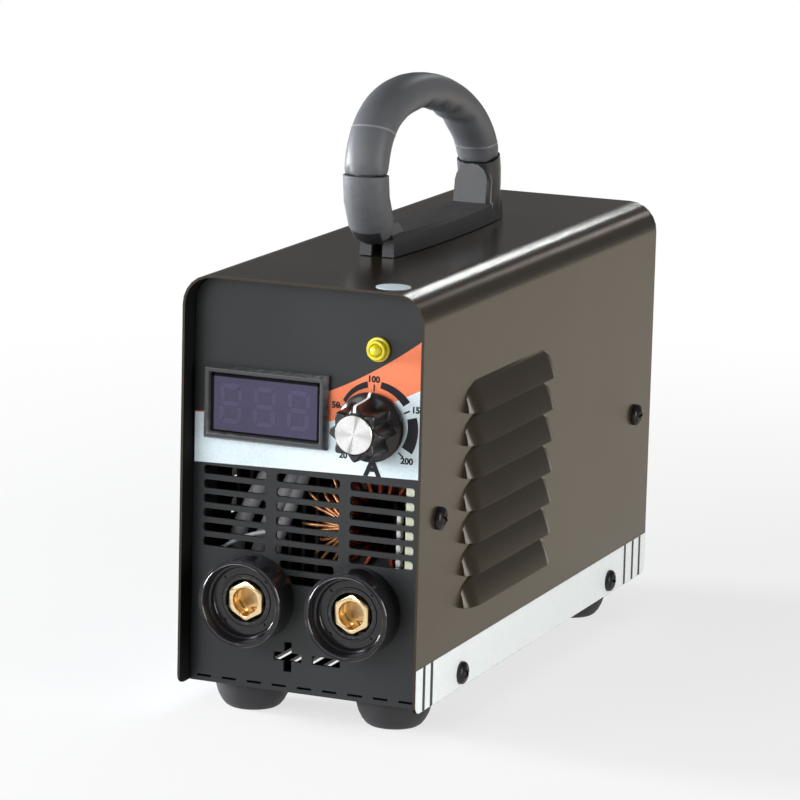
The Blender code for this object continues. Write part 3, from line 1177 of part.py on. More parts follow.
# ------------------------------------------------------------------ power stage
def winding_points():
    """Path of the choke's wire: from the board up, round the ring's section loop by loop, and down."""
    middle = (CHOKE_INNER + CHOKE_OUTER) / 2
    clear = WIRE_RADIUS + 2 * GAP
    half_radial = (CHOKE_OUTER - CHOKE_INNER) / 2 + clear
    half_axial = CHOKE_THICKNESS / 2 + clear
    drop = CHOKE_Z - BOARD_TOP - GAP
    spread = math.radians(WIRE_SPREAD)
    first = -math.pi / 2 + (math.tau - spread) / 2
    turns = WIRE_LOOPS - 0.5

    def spot(radius, along, angle):
        return Vector((radius * math.cos(angle), along, radius * math.sin(angle)))

    total = round(turns * WIRE_POINTS)
    loops = []
    for i in range(total + 1):
        phase = math.tau * i / WIRE_POINTS
        c, s = -math.cos(phase), -math.sin(phase)
        radial = half_radial * math.copysign(abs(s) ** (2 / 4.5), s)
        axial = half_axial * math.copysign(abs(c) ** (2 / 4.5), c)
        loops.append(spot(middle + radial, axial, first + spread * i / total))
    start, end = loops[0], loops[-1]
    lead_in = [Vector((start.x, start.y, -drop)), Vector((start.x, start.y, -CHOKE_OUTER - 2 * WIRE_RADIUS))]
    lead_out = [Vector((end.x, end.y, -CHOKE_OUTER - 2 * WIRE_RADIUS)), Vector((end.x, end.y, -drop))]
    return lead_in + loops + lead_out


def least_gap(points):
    """Least distance between loops of the wire, less its thickness."""
    dense = [a.lerp(b, i / 3) for a, b in zip(points, points[1:]) for i in range(3)]
    apart = WIRE_POINTS * 3 // 2
    count = len(dense)
    least = min((dense[i] - dense[j]).length for i in range(count) for j in range(i + apart, count))
    return least - 2 * WIRE_RADIUS


def build_choke(casing):
    """Output choke: powder-iron ring, one unbroken copper winding and the cradle on the board."""
    centre = (CHOKE_X, FRONT_FACE + CHOKE_BACK, CHOKE_Z)
    half, chamfer = CHOKE_THICKNESS / 2, CHOKE_CHAMFER
    profile = [(CHOKE_INNER + chamfer, -half), (CHOKE_OUTER - chamfer, -half), (CHOKE_OUTER, -half + chamfer),
               (CHOKE_OUTER, half - chamfer), (CHOKE_OUTER - chamfer, half), (CHOKE_INNER + chamfer, half),
               (CHOKE_INNER, half - chamfer), (CHOKE_INNER, -half + chamfer)]
    piece("choke_core", turned(bmesh.new(), profile, 28), "ferrite", casing, centre, "front")

    points = winding_points()
    curve = bpy.data.curves.new("choke_winding", "CURVE")
    curve.dimensions = "3D"
    curve.bevel_depth = WIRE_RADIUS
    curve.bevel_resolution = 1
    curve.use_fill_caps = True
    spline = curve.splines.new("POLY")
    spline.points.add(len(points) - 1)
    for target, point in zip(spline.points, points):
        target.co = (*point, 1.0)
    curve.materials.append(finish("copper"))
    winding = bpy.data.objects.new("choke_winding", curve)
    bpy.context.scene.collection.objects.link(winding)
    winding.parent = casing
    winding.location = centre
    print(f"least gap between the loops of the winding: {least_gap(points) * 1000:.2f} mm")

    envelope = CHOKE_OUTER + 2 * WIRE_RADIUS + 3 * GAP
    low = BOARD_TOP + GAP - CHOKE_Z
    high = -math.sqrt(envelope ** 2 - (CRADLE_WIDTH / 2) ** 2)
    bm = bmesh.new()
    box(bm, (-CRADLE_WIDTH / 2, -CRADLE_DEPTH / 2, low), (CRADLE_WIDTH / 2, CRADLE_DEPTH / 2, high))
    cradle = piece("choke_cradle", bm, "black_plastic", casing, centre)
    cut(cradle, cylinder(bmesh.new(), envelope, -CRADLE_DEPTH, CRADLE_DEPTH, 40, FORWARD))


def build_board(casing):
    """Main board on the chassis posts."""
    bm = box(bmesh.new(), (-BOARD_HALF, -HALF_DEPTH + BOARD_FRONT, BOARD_Z),
             (BOARD_HALF, HALF_DEPTH - BOARD_REAR, BOARD_TOP))
    piece("main_board", bm, "board_green", casing)


def build_heat_sinks(casing):
    """Extruded heat sinks with upright fins, either side of the middle."""
    low = BOARD_TOP + GAP
    for name, side, front in (("left", -1, SINK_FRONT[0]), ("right", 1, SINK_FRONT[1])):
        pitch = (SINK_WIDTH - SINK_FIN) / (SINK_FINS - 1)
        outline = [(SINK_WIDTH / 2, 0), (-SINK_WIDTH / 2, 0)]
        for fin in range(SINK_FINS):
            left = -SINK_WIDTH / 2 + fin * pitch
            outline += [(left, SINK_HEIGHT), (left + SINK_FIN, SINK_HEIGHT), (left + SINK_FIN, SINK_BASE)]
            if fin < SINK_FINS - 1:
                outline.append((left + pitch, SINK_BASE))
        outline.pop()
        bm = prism(bmesh.new(), outline, -SINK_REAR, -front, FORWARD)
        piece(f"heat_sink_{name}", bm, "aluminium", casing, (side * SINK_X, 0, low))


def build_transformer(casing):
    """Ferrite transformer: core with two windows, and the winding round its middle leg."""
    low = BOARD_TOP + GAP
    place = (0, CORE_Y, low + CORE_HEIGHT / 2)
    half_depth = CORE_DEPTH / 2
    bm = prism(bmesh.new(), rectangle(CORE_WIDTH, CORE_HEIGHT), -half_depth, half_depth)
    core = piece("transformer_core", bm, "ferrite", casing, place, "front")
    window_width = (CORE_WIDTH - CORE_LEG) / 2 - CORE_YOKE
    window_height = CORE_HEIGHT - 2 * CORE_YOKE
    windows = bmesh.new()
    for side in (-1, 1):
        x = side * (CORE_LEG + window_width) / 2
        prism(windows, rectangle(window_width, window_height, 0, x), -half_depth - CUT, half_depth + CUT)
    cut(core, windows)
    build = min(COIL_BUILD, window_width - 2 * GAP)
    inner_x, inner_y = CORE_LEG / 2 + GAP, half_depth + GAP
    tall = window_height / 2 - GAP
    outline = rectangle(2 * (inner_x + build), 2 * (inner_y + build), build * 0.6, steps=3)
    bm = prism(bmesh.new(), outline, -tall, tall)
    coil = piece("transformer_winding", bm, "tape_yellow", casing, place)
    cut(coil, prism(bmesh.new(), rectangle(2 * inner_x, 2 * inner_y), -tall - CUT, tall + CUT))


def build_capacitors(casing):
    """Two bulk capacitors in their sleeves."""
    low, radius, tall = BOARD_TOP + GAP, CAPACITOR_RADIUS, CAPACITOR_HEIGHT
    profile = [(0, 0), (radius, 0), (radius, 0.003), (radius * 0.96, 0.004), (radius, 0.005),
               (radius, tall - 0.001), (radius * 0.92, tall), (radius * 0.86, tall - 0.0006),
               (0, tall - 0.0006)]
    for name, x in (("left", -CAPACITOR_X), ("right", CAPACITOR_X)):
        piece(f"capacitor_{name}", turned(bmesh.new(), profile, 10), "capacitor_sleeve", casing,
              (x, CAPACITOR_Y, low))


def build_terminal_strip(casing):
    """Cream terminal strip behind the right-hand end of the vents."""
    high = VENT_TOP + VENT_HEIGHT
    front = FRONT_FACE + PANEL_SHEET + GAP
    bm = box(bmesh.new(), (STRIP_X - STRIP_WIDTH / 2, front, high - STRIP_HEIGHT),
             (STRIP_X + STRIP_WIDTH / 2, front + STRIP_DEPTH, high))
    piece("terminal_strip", bm, "cream_nylon", casing)


def main():
    clear_scene()
    casing = bpy.data.objects.new("casing_frame", None)
    bpy.context.scene.collection.objects.link(casing)
    casing.location = (0, (FRONT_REACH - REAR_REACH) / 2, FOOT_HEIGHT)
    for build in (build_cover, build_chassis, build_rear_panel, build_side_screws, build_feet, build_sockets,
                  build_display, build_lamp, build_knob, build_handle, build_fan, build_switch, build_gland,
                  build_choke, build_board, build_heat_sinks, build_transformer, build_capacitors,
                  build_terminal_strip):
        build(casing)


main()
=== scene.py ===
"""Looks of the stick welding inverter: finishes, front label and dial, stripes, screws, handle and stage."""
import json
import math

import bpy
from bpy.props import FloatProperty, FloatVectorProperty, IntProperty, PointerProperty
from mathutils import Matrix, Vector

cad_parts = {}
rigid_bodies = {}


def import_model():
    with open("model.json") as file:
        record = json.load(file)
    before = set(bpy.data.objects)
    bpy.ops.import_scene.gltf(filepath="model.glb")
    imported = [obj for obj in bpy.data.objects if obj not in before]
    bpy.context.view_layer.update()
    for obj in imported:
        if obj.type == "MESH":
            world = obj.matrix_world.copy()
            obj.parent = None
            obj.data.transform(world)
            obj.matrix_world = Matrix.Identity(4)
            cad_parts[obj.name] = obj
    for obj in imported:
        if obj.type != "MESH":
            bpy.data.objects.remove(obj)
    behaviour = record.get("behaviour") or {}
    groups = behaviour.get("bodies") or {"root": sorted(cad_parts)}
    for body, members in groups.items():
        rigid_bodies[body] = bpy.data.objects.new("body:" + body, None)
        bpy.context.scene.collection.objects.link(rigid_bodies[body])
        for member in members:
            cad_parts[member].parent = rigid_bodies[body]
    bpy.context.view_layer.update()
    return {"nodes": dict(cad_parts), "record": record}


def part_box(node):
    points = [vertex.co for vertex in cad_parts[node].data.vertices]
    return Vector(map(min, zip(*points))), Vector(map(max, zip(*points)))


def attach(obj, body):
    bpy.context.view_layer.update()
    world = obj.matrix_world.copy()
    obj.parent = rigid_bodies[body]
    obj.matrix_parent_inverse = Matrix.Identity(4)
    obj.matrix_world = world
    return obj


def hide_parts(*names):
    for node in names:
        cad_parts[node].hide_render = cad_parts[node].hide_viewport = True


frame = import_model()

bl_info = {
    "name": "Stick welding inverter",
    "version": (1, 0, 0),
    "blender": (4, 5, 0),
    "location": "3D View > Sidebar > Inverter",
    "description": "Dresses the packed model of a portable stick welding inverter",
    "category": "Object",
}

CASE_LOW, CASE_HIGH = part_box("cover_shell")
LIFT = CASE_LOW[2]                                  # the casing's lower edge above the floor
CASE_FRONT, CASE_REAR = CASE_LOW[1], CASE_HIGH[1]
CASE_TOP = CASE_HIGH[2]
PANEL_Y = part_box("chassis")[0][1]                   # outer face of the front panel
PANEL_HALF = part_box("chassis")[1][0]
CASE_HALF = 0.045                                   # outer face of the flat side walls
FRONT_TURN = Matrix.Rotation(math.pi / 2, 4, "X")   # a flat piece's face turns from up to the front
RIGHT_TURN = Matrix.Rotation(math.pi / 2, 4, "Z") @ FRONT_TURN
LEFT_TURN = Matrix.Rotation(-math.pi / 2, 4, "Z") @ FRONT_TURN
UNTURNED = Matrix.Identity(4)
PRINT_GAP = 0.00002                                 # between a print and the wall behind it
KNEE = 0.0067                                       # across the panel: where the warm wedge starts to climb
LABEL_LEFT = -0.044                                 # across the panel: left end of the label's edges


def middle(node):
    """Middle of a node's box."""
    low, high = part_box(node)
    return Vector([(a + b) / 2 for a, b in zip(low, high)])


# ------------------------------------------------------------------ sizes and colours
def colour(name, description, default):
    """A colour that the user can change."""
    return FloatVectorProperty(name=name, description=description, default=default, subtype="COLOR", size=3,
                               min=0.0, max=1.0)


def length(name, description, default):
    """A length, in metres, that the user can change."""
    return FloatProperty(name=name, description=description, default=default, unit="LENGTH", min=0.0,
                         precision=5)


class InverterColours(bpy.types.PropertyGroup):
    """Colours of the finishes."""
    casing: colour("Casing", "Powder coat of the cover", (0.026, 0.019, 0.012))
    panel: colour("Panels", "Powder coat of the front and rear panels", (0.012, 0.014, 0.015))
    plastic: colour("Plastic", "Moulded black plastic", (0.016, 0.017, 0.018))
    grip: colour("Grip", "Soft grip of the handle", (0.098, 0.102, 0.110))
    foot: colour("Feet", "Rubber of the feet", (0.020, 0.020, 0.023))
    brass: colour("Brass", "Brass of the sockets' contacts", (0.90, 0.69, 0.40))
    copper: colour("Copper", "Copper of the choke and busbars", (0.62, 0.22, 0.08))
    bright: colour("Bright metal", "Spun cap of the knob", (0.88, 0.88, 0.88))
    field: colour("Light field", "Light field of the front label and side stripes", (0.78, 0.91, 0.95))
    wedge: colour("Warm wedge", "Warm wedge of the front label", (0.98, 0.25, 0.11))
    ink: colour("Ink", "Dark print of the dial", (0.004, 0.004, 0.010))
    window: colour("Window", "Tinted window of the meter", (0.042, 0.036, 0.086))
    lamp: colour("Lamp", "Indicator lamp", (0.72, 0.62, 0.02))


class InverterSizes(bpy.types.PropertyGroup):
    """Sizes of the pieces that are added to the solids."""
    print_depth: length("Print thickness", "Thickness of the labels and stripes", 0.00012)
    edge: length("Edge", "Rounding of sheet-metal edges", 0.0003)
    digit_height: length("Digit height", "Height of the meter's digits", 0.0142)
    digit_pitch: length("Digit pitch", "Spacing of the meter's digits", 0.0128)
    numeral: length("Numerals", "Height of the dial's numbers", 0.0022)
    strip_height: length("Side strip", "Height of the light strip along the side's lower edge", 0.0158)
    sticker: length("Sticker", "Radius of the round sticker on top", 0.0060)
    socket_floor: length("Socket floor", "Height of the sockets' floor above the panel", 0.0062)
    skirt: length("Knob skirt", "Radius of the knob's skirt", 0.0121)
    cap: length("Knob cap", "Radius of the knob's spun cap", 0.0068)
    foot: length("Foot", "Radius of the rubber feet", 0.0135)
    flutes: IntProperty(name="Knob flutes", description="Number of the knob's flutes", default=8, min=3)


# ------------------------------------------------------------------ shader groups and materials
def node(tree, kind, place=(0, 0), **values):
    """Add a node to a tree."""
    made = tree.nodes.new(kind)
    made.location = place
    for key, value in values.items():
        setattr(made, key, value)
    return made


def maths(tree, operation, a, b=None, clamp=False):
    """A Math node on sockets or numbers; gives back its output."""
    made = node(tree, "ShaderNodeMath", operation=operation, use_clamp=clamp)
    for index, value in enumerate((a, b)):
        if isinstance(value, bpy.types.NodeSocket):
            tree.links.new(value, made.inputs[index])
        elif value is not None:
            made.inputs[index].default_value = value
    return made.outputs[0]


def blended(tree, mode, factor, a, b):
    """A colour Mix node; gives back its output."""
    made = node(tree, "ShaderNodeMix", data_type="RGBA", blend_type=mode)
    for index, value in ((0, factor), (6, a), (7, b)):
        if isinstance(value, bpy.types.NodeSocket):
            tree.links.new(value, made.inputs[index])
        elif index == 0:
            made.inputs[index].default_value = value
        else:
            made.inputs[index].default_value = (*value[:3], 1.0)
    return made.outputs[2]


def noise(tree, vector, scale, detail=3.0, roughness=0.5):
    """A Noise node; gives back its factor."""
    made = node(tree, "ShaderNodeTexNoise")
    tree.links.new(vector, made.inputs["Vector"])
    if isinstance(scale, bpy.types.NodeSocket):
        tree.links.new(scale, made.inputs["Scale"])
    else:
        made.inputs["Scale"].default_value = scale
    made.inputs["Detail"].default_value = detail
    made.inputs["Roughness"].default_value = roughness
    return made.outputs["Fac"]


def ramp(tree, value, start, stop, low, high):
    """A smooth step from low to high while a value goes from start to stop; gives back its output."""
    made = node(tree, "ShaderNodeMapRange", interpolation_type="SMOOTHSTEP")
    tree.links.new(value, made.inputs["Value"])
    for label, number in (("From Min", start), ("From Max", stop), ("To Min", low), ("To Max", high)):
        made.inputs[label].default_value = number
    return made.outputs[0]


def group(name, inputs, outputs):
    """A new shader node group with its named sockets; gives back the tree and its two ends."""
    tree = bpy.data.node_groups.new(name, "ShaderNodeTree")
    for label, kind, value in inputs:
        socket = tree.interface.new_socket(name=label, in_out="INPUT", socket_type=kind)
        if value is not None:
            socket.default_value = value
    for label, kind in outputs:
        tree.interface.new_socket(name=label, in_out="OUTPUT", socket_type=kind)
    return tree, node(tree, "NodeGroupInput", (-900, 0)), node(tree, "NodeGroupOutput", (900, 0))


def grain_group():
    """Fine surface grain with slow drift in colour and gloss."""
    tree, source, result = group(
        "Surface grain",
        [("Colour", "NodeSocketColor", (0.5, 0.5, 0.5, 1)), ("Roughness", "NodeSocketFloat", 0.5),
         ("Grain scale", "NodeSocketFloat", 1500.0), ("Drift", "NodeSocketFloat", 0.2)],
        [("Colour", "NodeSocketColor"), ("Roughness", "NodeSocketFloat"), ("Height", "NodeSocketFloat")])
    place = node(tree, "ShaderNodeTexCoord", (-900, 300)).outputs["Object"]
    fine = noise(tree, place, source.outputs["Grain scale"], 4.0, 0.6)
    slow = noise(tree, place, 38.0, 4.0, 0.62)
    patch = noise(tree, place, 9.0, 2.0)
    drift = maths(tree, "MULTIPLY", maths(tree, "SUBTRACT", maths(tree, "ADD", slow, patch), 1.0),
                  source.outputs["Drift"])
    speckle = maths(tree, "MULTIPLY", maths(tree, "SUBTRACT", fine, 0.5), 0.35)
    lift = maths(tree, "ADD", 1.0, maths(tree, "ADD", drift, speckle))
    shade = node(tree, "ShaderNodeCombineColor")
    for index in range(3):
        tree.links.new(lift, shade.inputs[index])
    shaded = blended(tree, "MULTIPLY", 1.0, source.outputs["Colour"], shade.outputs[0])
    tree.links.new(shaded, result.inputs["Colour"])
    rough = maths(tree, "ADD", source.outputs["Roughness"], maths(tree, "MULTIPLY", drift, 0.6), clamp=True)
    tree.links.new(rough, result.inputs["Roughness"])
    tree.links.new(fine, result.inputs["Height"])
    return tree


def wear_and_highlight_group():
    """Lighter edges, broken up by noise: partly rubbed wear, partly a painted highlight along the edges."""
    tree, source, result = group(
        "Edge wear",
        [("Colour", "NodeSocketColor", (0.5, 0.5, 0.5, 1)),
         ("Worn and highlight colour", "NodeSocketColor", (0.5, 0.5, 0.5, 1)), ("Amount", "NodeSocketFloat", 0.5)],
        [("Colour", "NodeSocketColor"), ("Mask", "NodeSocketFloat")])
    place = node(tree, "ShaderNodeTexCoord").outputs["Object"]
    edge = node(tree, "ShaderNodeNewGeometry").outputs["Pointiness"]
    sharp = maths(tree, "MULTIPLY", maths(tree, "SUBTRACT", edge, 0.53), 9.0, clamp=True)
    edge_breakup = noise(tree, place, 420.0, 4.0)
    broken = maths(tree, "MULTIPLY", maths(tree, "SUBTRACT", edge_breakup, 0.32), 2.6, clamp=True)
    rims = maths(tree, "MULTIPLY", sharp, broken)
    mask = maths(tree, "MULTIPLY", rims, source.outputs["Amount"], clamp=True)
    tree.links.new(blended(tree, "MIX", mask, source.outputs["Colour"], source.outputs["Worn and highlight colour"]),
                   result.inputs["Colour"])
    tree.links.new(mask, result.inputs["Mask"])
    return tree


def dust_group():
    """Thin dust that settles on faces that look up."""
    tree, source, result = group(
        "Settled dust",
        [("Colour", "NodeSocketColor", (0.5, 0.5, 0.5, 1)), ("Amount", "NodeSocketFloat", 0.1)],
        [("Colour", "NodeSocketColor")])
    place = node(tree, "ShaderNodeTexCoord").outputs["Object"]
    split = node(tree, "ShaderNodeSeparateXYZ")
    tree.links.new(node(tree, "ShaderNodeNewGeometry").outputs["Normal"], split.inputs[0])
    up = maths(tree, "MULTIPLY", maths(tree, "SUBTRACT", split.outputs["Z"], 0.2), 1.2, clamp=True)
    fallen = noise(tree, place, 950.0, 5.0, 0.7)
    specks = maths(tree, "MULTIPLY", maths(tree, "SUBTRACT", fallen, 0.45), 4.0, clamp=True)
    lying = maths(tree, "MULTIPLY", up, specks)
    mask = maths(tree, "MULTIPLY", lying, source.outputs["Amount"], clamp=True)
    dusty = blended(tree, "MIX", mask, source.outputs["Colour"], (0.42, 0.40, 0.37))
    tree.links.new(dusty, result.inputs["Colour"])
    return tree


def rings_group():
    """Concentric turning marks round the local Y axis."""
    tree, source, result = group(
        "Turning marks",
        [("Vector", "NodeSocketVector", None), ("Colour", "NodeSocketColor", (0.5, 0.5, 0.5, 1)),
         ("Roughness", "NodeSocketFloat", 0.3), ("Pitch", "NodeSocketFloat", 9000.0),
         ("Depth", "NodeSocketFloat", 0.2)],
        [("Colour", "NodeSocketColor"), ("Roughness", "NodeSocketFloat"), ("Height", "NodeSocketFloat")])
    split = node(tree, "ShaderNodeSeparateXYZ")
    tree.links.new(source.outputs["Vector"], split.inputs[0])
    radius = maths(tree, "SQRT", maths(tree, "ADD", maths(tree, "POWER", split.outputs["X"], 2.0),
                                       maths(tree, "POWER", split.outputs["Z"], 2.0)))
    marks = node(tree, "ShaderNodeTexNoise", noise_dimensions="1D")
    tree.links.new(maths(tree, "MULTIPLY", radius, source.outputs["Pitch"]), marks.inputs["W"])
    marks.inputs["Scale"].default_value = 1.0
    marks.inputs["Detail"].default_value = 3.0
    middled = maths(tree, "SUBTRACT", marks.outputs["Fac"], 0.5)
    swing = maths(tree, "MULTIPLY", middled, source.outputs["Depth"])
    shade = node(tree, "ShaderNodeCombineColor")
    for index in range(3):
        tree.links.new(maths(tree, "ADD", 1.0, swing), shade.inputs[index])
    shaded = blended(tree, "MULTIPLY", 1.0, source.outputs["Colour"], shade.outputs[0])
    tree.links.new(shaded, result.inputs["Colour"])
    rough = maths(tree, "ADD", source.outputs["Roughness"], swing, clamp=True)
    tree.links.new(rough, result.inputs["Roughness"])
    tree.links.new(marks.outputs["Fac"], result.inputs["Height"])
    return tree


def painted_reflection_group():
    """Painted reflection: light and dark wedges painted into the colour round the middle of spun metal,
    standing in for what its turning grooves reflect, about the local Y axis.
    """
    tree, source, result = group(
        "Spun fans",
        [("Vector", "NodeSocketVector", None), ("Colour", "NodeSocketColor", (0.9, 0.9, 0.9, 1)),
         ("Turn", "NodeSocketFloat", 0.0), ("Depth", "NodeSocketFloat", 0.75)],
        [("Colour", "NodeSocketColor")])
    split = node(tree, "ShaderNodeSeparateXYZ")
    tree.links.new(source.outputs["Vector"], split.inputs[0])
    around = maths(tree, "ARCTAN2", split.outputs["Z"], split.outputs["X"])
    angle = maths(tree, "ADD", around, source.outputs["Turn"])
    wide = maths(tree, "POWER", maths(tree, "ABSOLUTE", maths(tree, "COSINE", angle)), 14.0)
    spoke = maths(tree, "SINE", maths(tree, "ADD", angle, 0.22))
    narrow = maths(tree, "POWER", maths(tree, "ABSOLUTE", spoke), 90.0)
    # the darker wedges are painted reflection, not a colour of the metal
    dark = maths(tree, "MULTIPLY", maths(tree, "ADD", maths(tree, "MULTIPLY", wide, 0.5), narrow),
                 source.outputs["Depth"], clamp=True)
    painted_fan_colour = blended(tree, "MIX", dark, source.outputs["Colour"], (0.34, 0.32, 0.29))
    tree.links.new(painted_fan_colour, result.inputs["Colour"])
    return tree


def placed(tree, which):
    """A node that stands for one of the shader groups."""
    made = node(tree, "ShaderNodeGroup")
    made.node_tree = bpy.data.node_groups[which]
    return made


def finish(name, base, roughness, metallic=0.0, grain=1500.0, drift=0.2, bump=0.00002, wear=0.0,
           worn=(0.30, 0.30, 0.30), dust=0.0, rings=None, painted_reflection=False, **shader_values):
    """A material of grain, edge wear with a painted edge highlight, dust and, on turned pieces, turning
    marks and, where asked, a painted reflection of spun metal.
    """
    made = bpy.data.materials.new(name.replace("_", " ").capitalize())
    made.use_nodes = True
    tree = made.node_tree
    shader = tree.nodes["Principled BSDF"]
    grained = placed(tree, "Surface grain")
    grained.inputs["Colour"].default_value = (*base[:3], 1.0)
    grained.inputs["Roughness"].default_value = roughness
    grained.inputs["Grain scale"].default_value = grain
    grained.inputs["Drift"].default_value = drift
    tint, rough, height = (grained.outputs[label] for label in ("Colour", "Roughness", "Height"))
    if rings is not None:
        turned_marks = placed(tree, "Turning marks")
        mapping = node(tree, "ShaderNodeMapping")
        mapping.inputs["Location"].default_value = [-value for value in rings]
        tree.links.new(node(tree, "ShaderNodeTexCoord").outputs["Object"], mapping.inputs["Vector"])
        tree.links.new(mapping.outputs[0], turned_marks.inputs["Vector"])
        tree.links.new(tint, turned_marks.inputs["Colour"])
        tree.links.new(rough, turned_marks.inputs["Roughness"])
        tint, rough, height = (turned_marks.outputs[label] for label in ("Colour", "Roughness", "Height"))
        # paint the spun metal's reflection into its colour as light and dark wedges
        if painted_reflection:
            spun = placed(tree, "Spun fans")
            tree.links.new(mapping.outputs[0], spun.inputs["Vector"])
            tree.links.new(tint, spun.inputs["Colour"])
            tint = spun.outputs["Colour"]
    # lighter edges by pointiness: partly wear, partly a painted edge highlight
    if wear:
        worn_and_lit_edges = placed(tree, "Edge wear")
        tree.links.new(tint, worn_and_lit_edges.inputs["Colour"])
        worn_and_lit_edges.inputs["Worn and highlight colour"].default_value = (*worn, 1.0)
        worn_and_lit_edges.inputs["Amount"].default_value = wear
        tint = worn_and_lit_edges.outputs["Colour"]
    if dust:
        settled = placed(tree, "Settled dust")
        tree.links.new(tint, settled.inputs["Colour"])
        settled.inputs["Amount"].default_value = dust
        tint = settled.outputs["Colour"]
    tree.links.new(tint, shader.inputs["Base Color"])
    tree.links.new(rough, shader.inputs["Roughness"])
    shader.inputs["Metallic"].default_value = metallic
    for label, value in shader_values.items():
        shader.inputs[label.replace("_", " ")].default_value = value
    if bump:
        relief = node(tree, "ShaderNodeBump")
        relief.inputs["Strength"].default_value = 0.6
        relief.inputs["Distance"].default_value = bump
        tree.links.new(height, relief.inputs["Height"])
        tree.links.new(relief.outputs[0], shader.inputs["Normal"])
    made.diffuse_color = (*base[:3], 1.0)
    return made


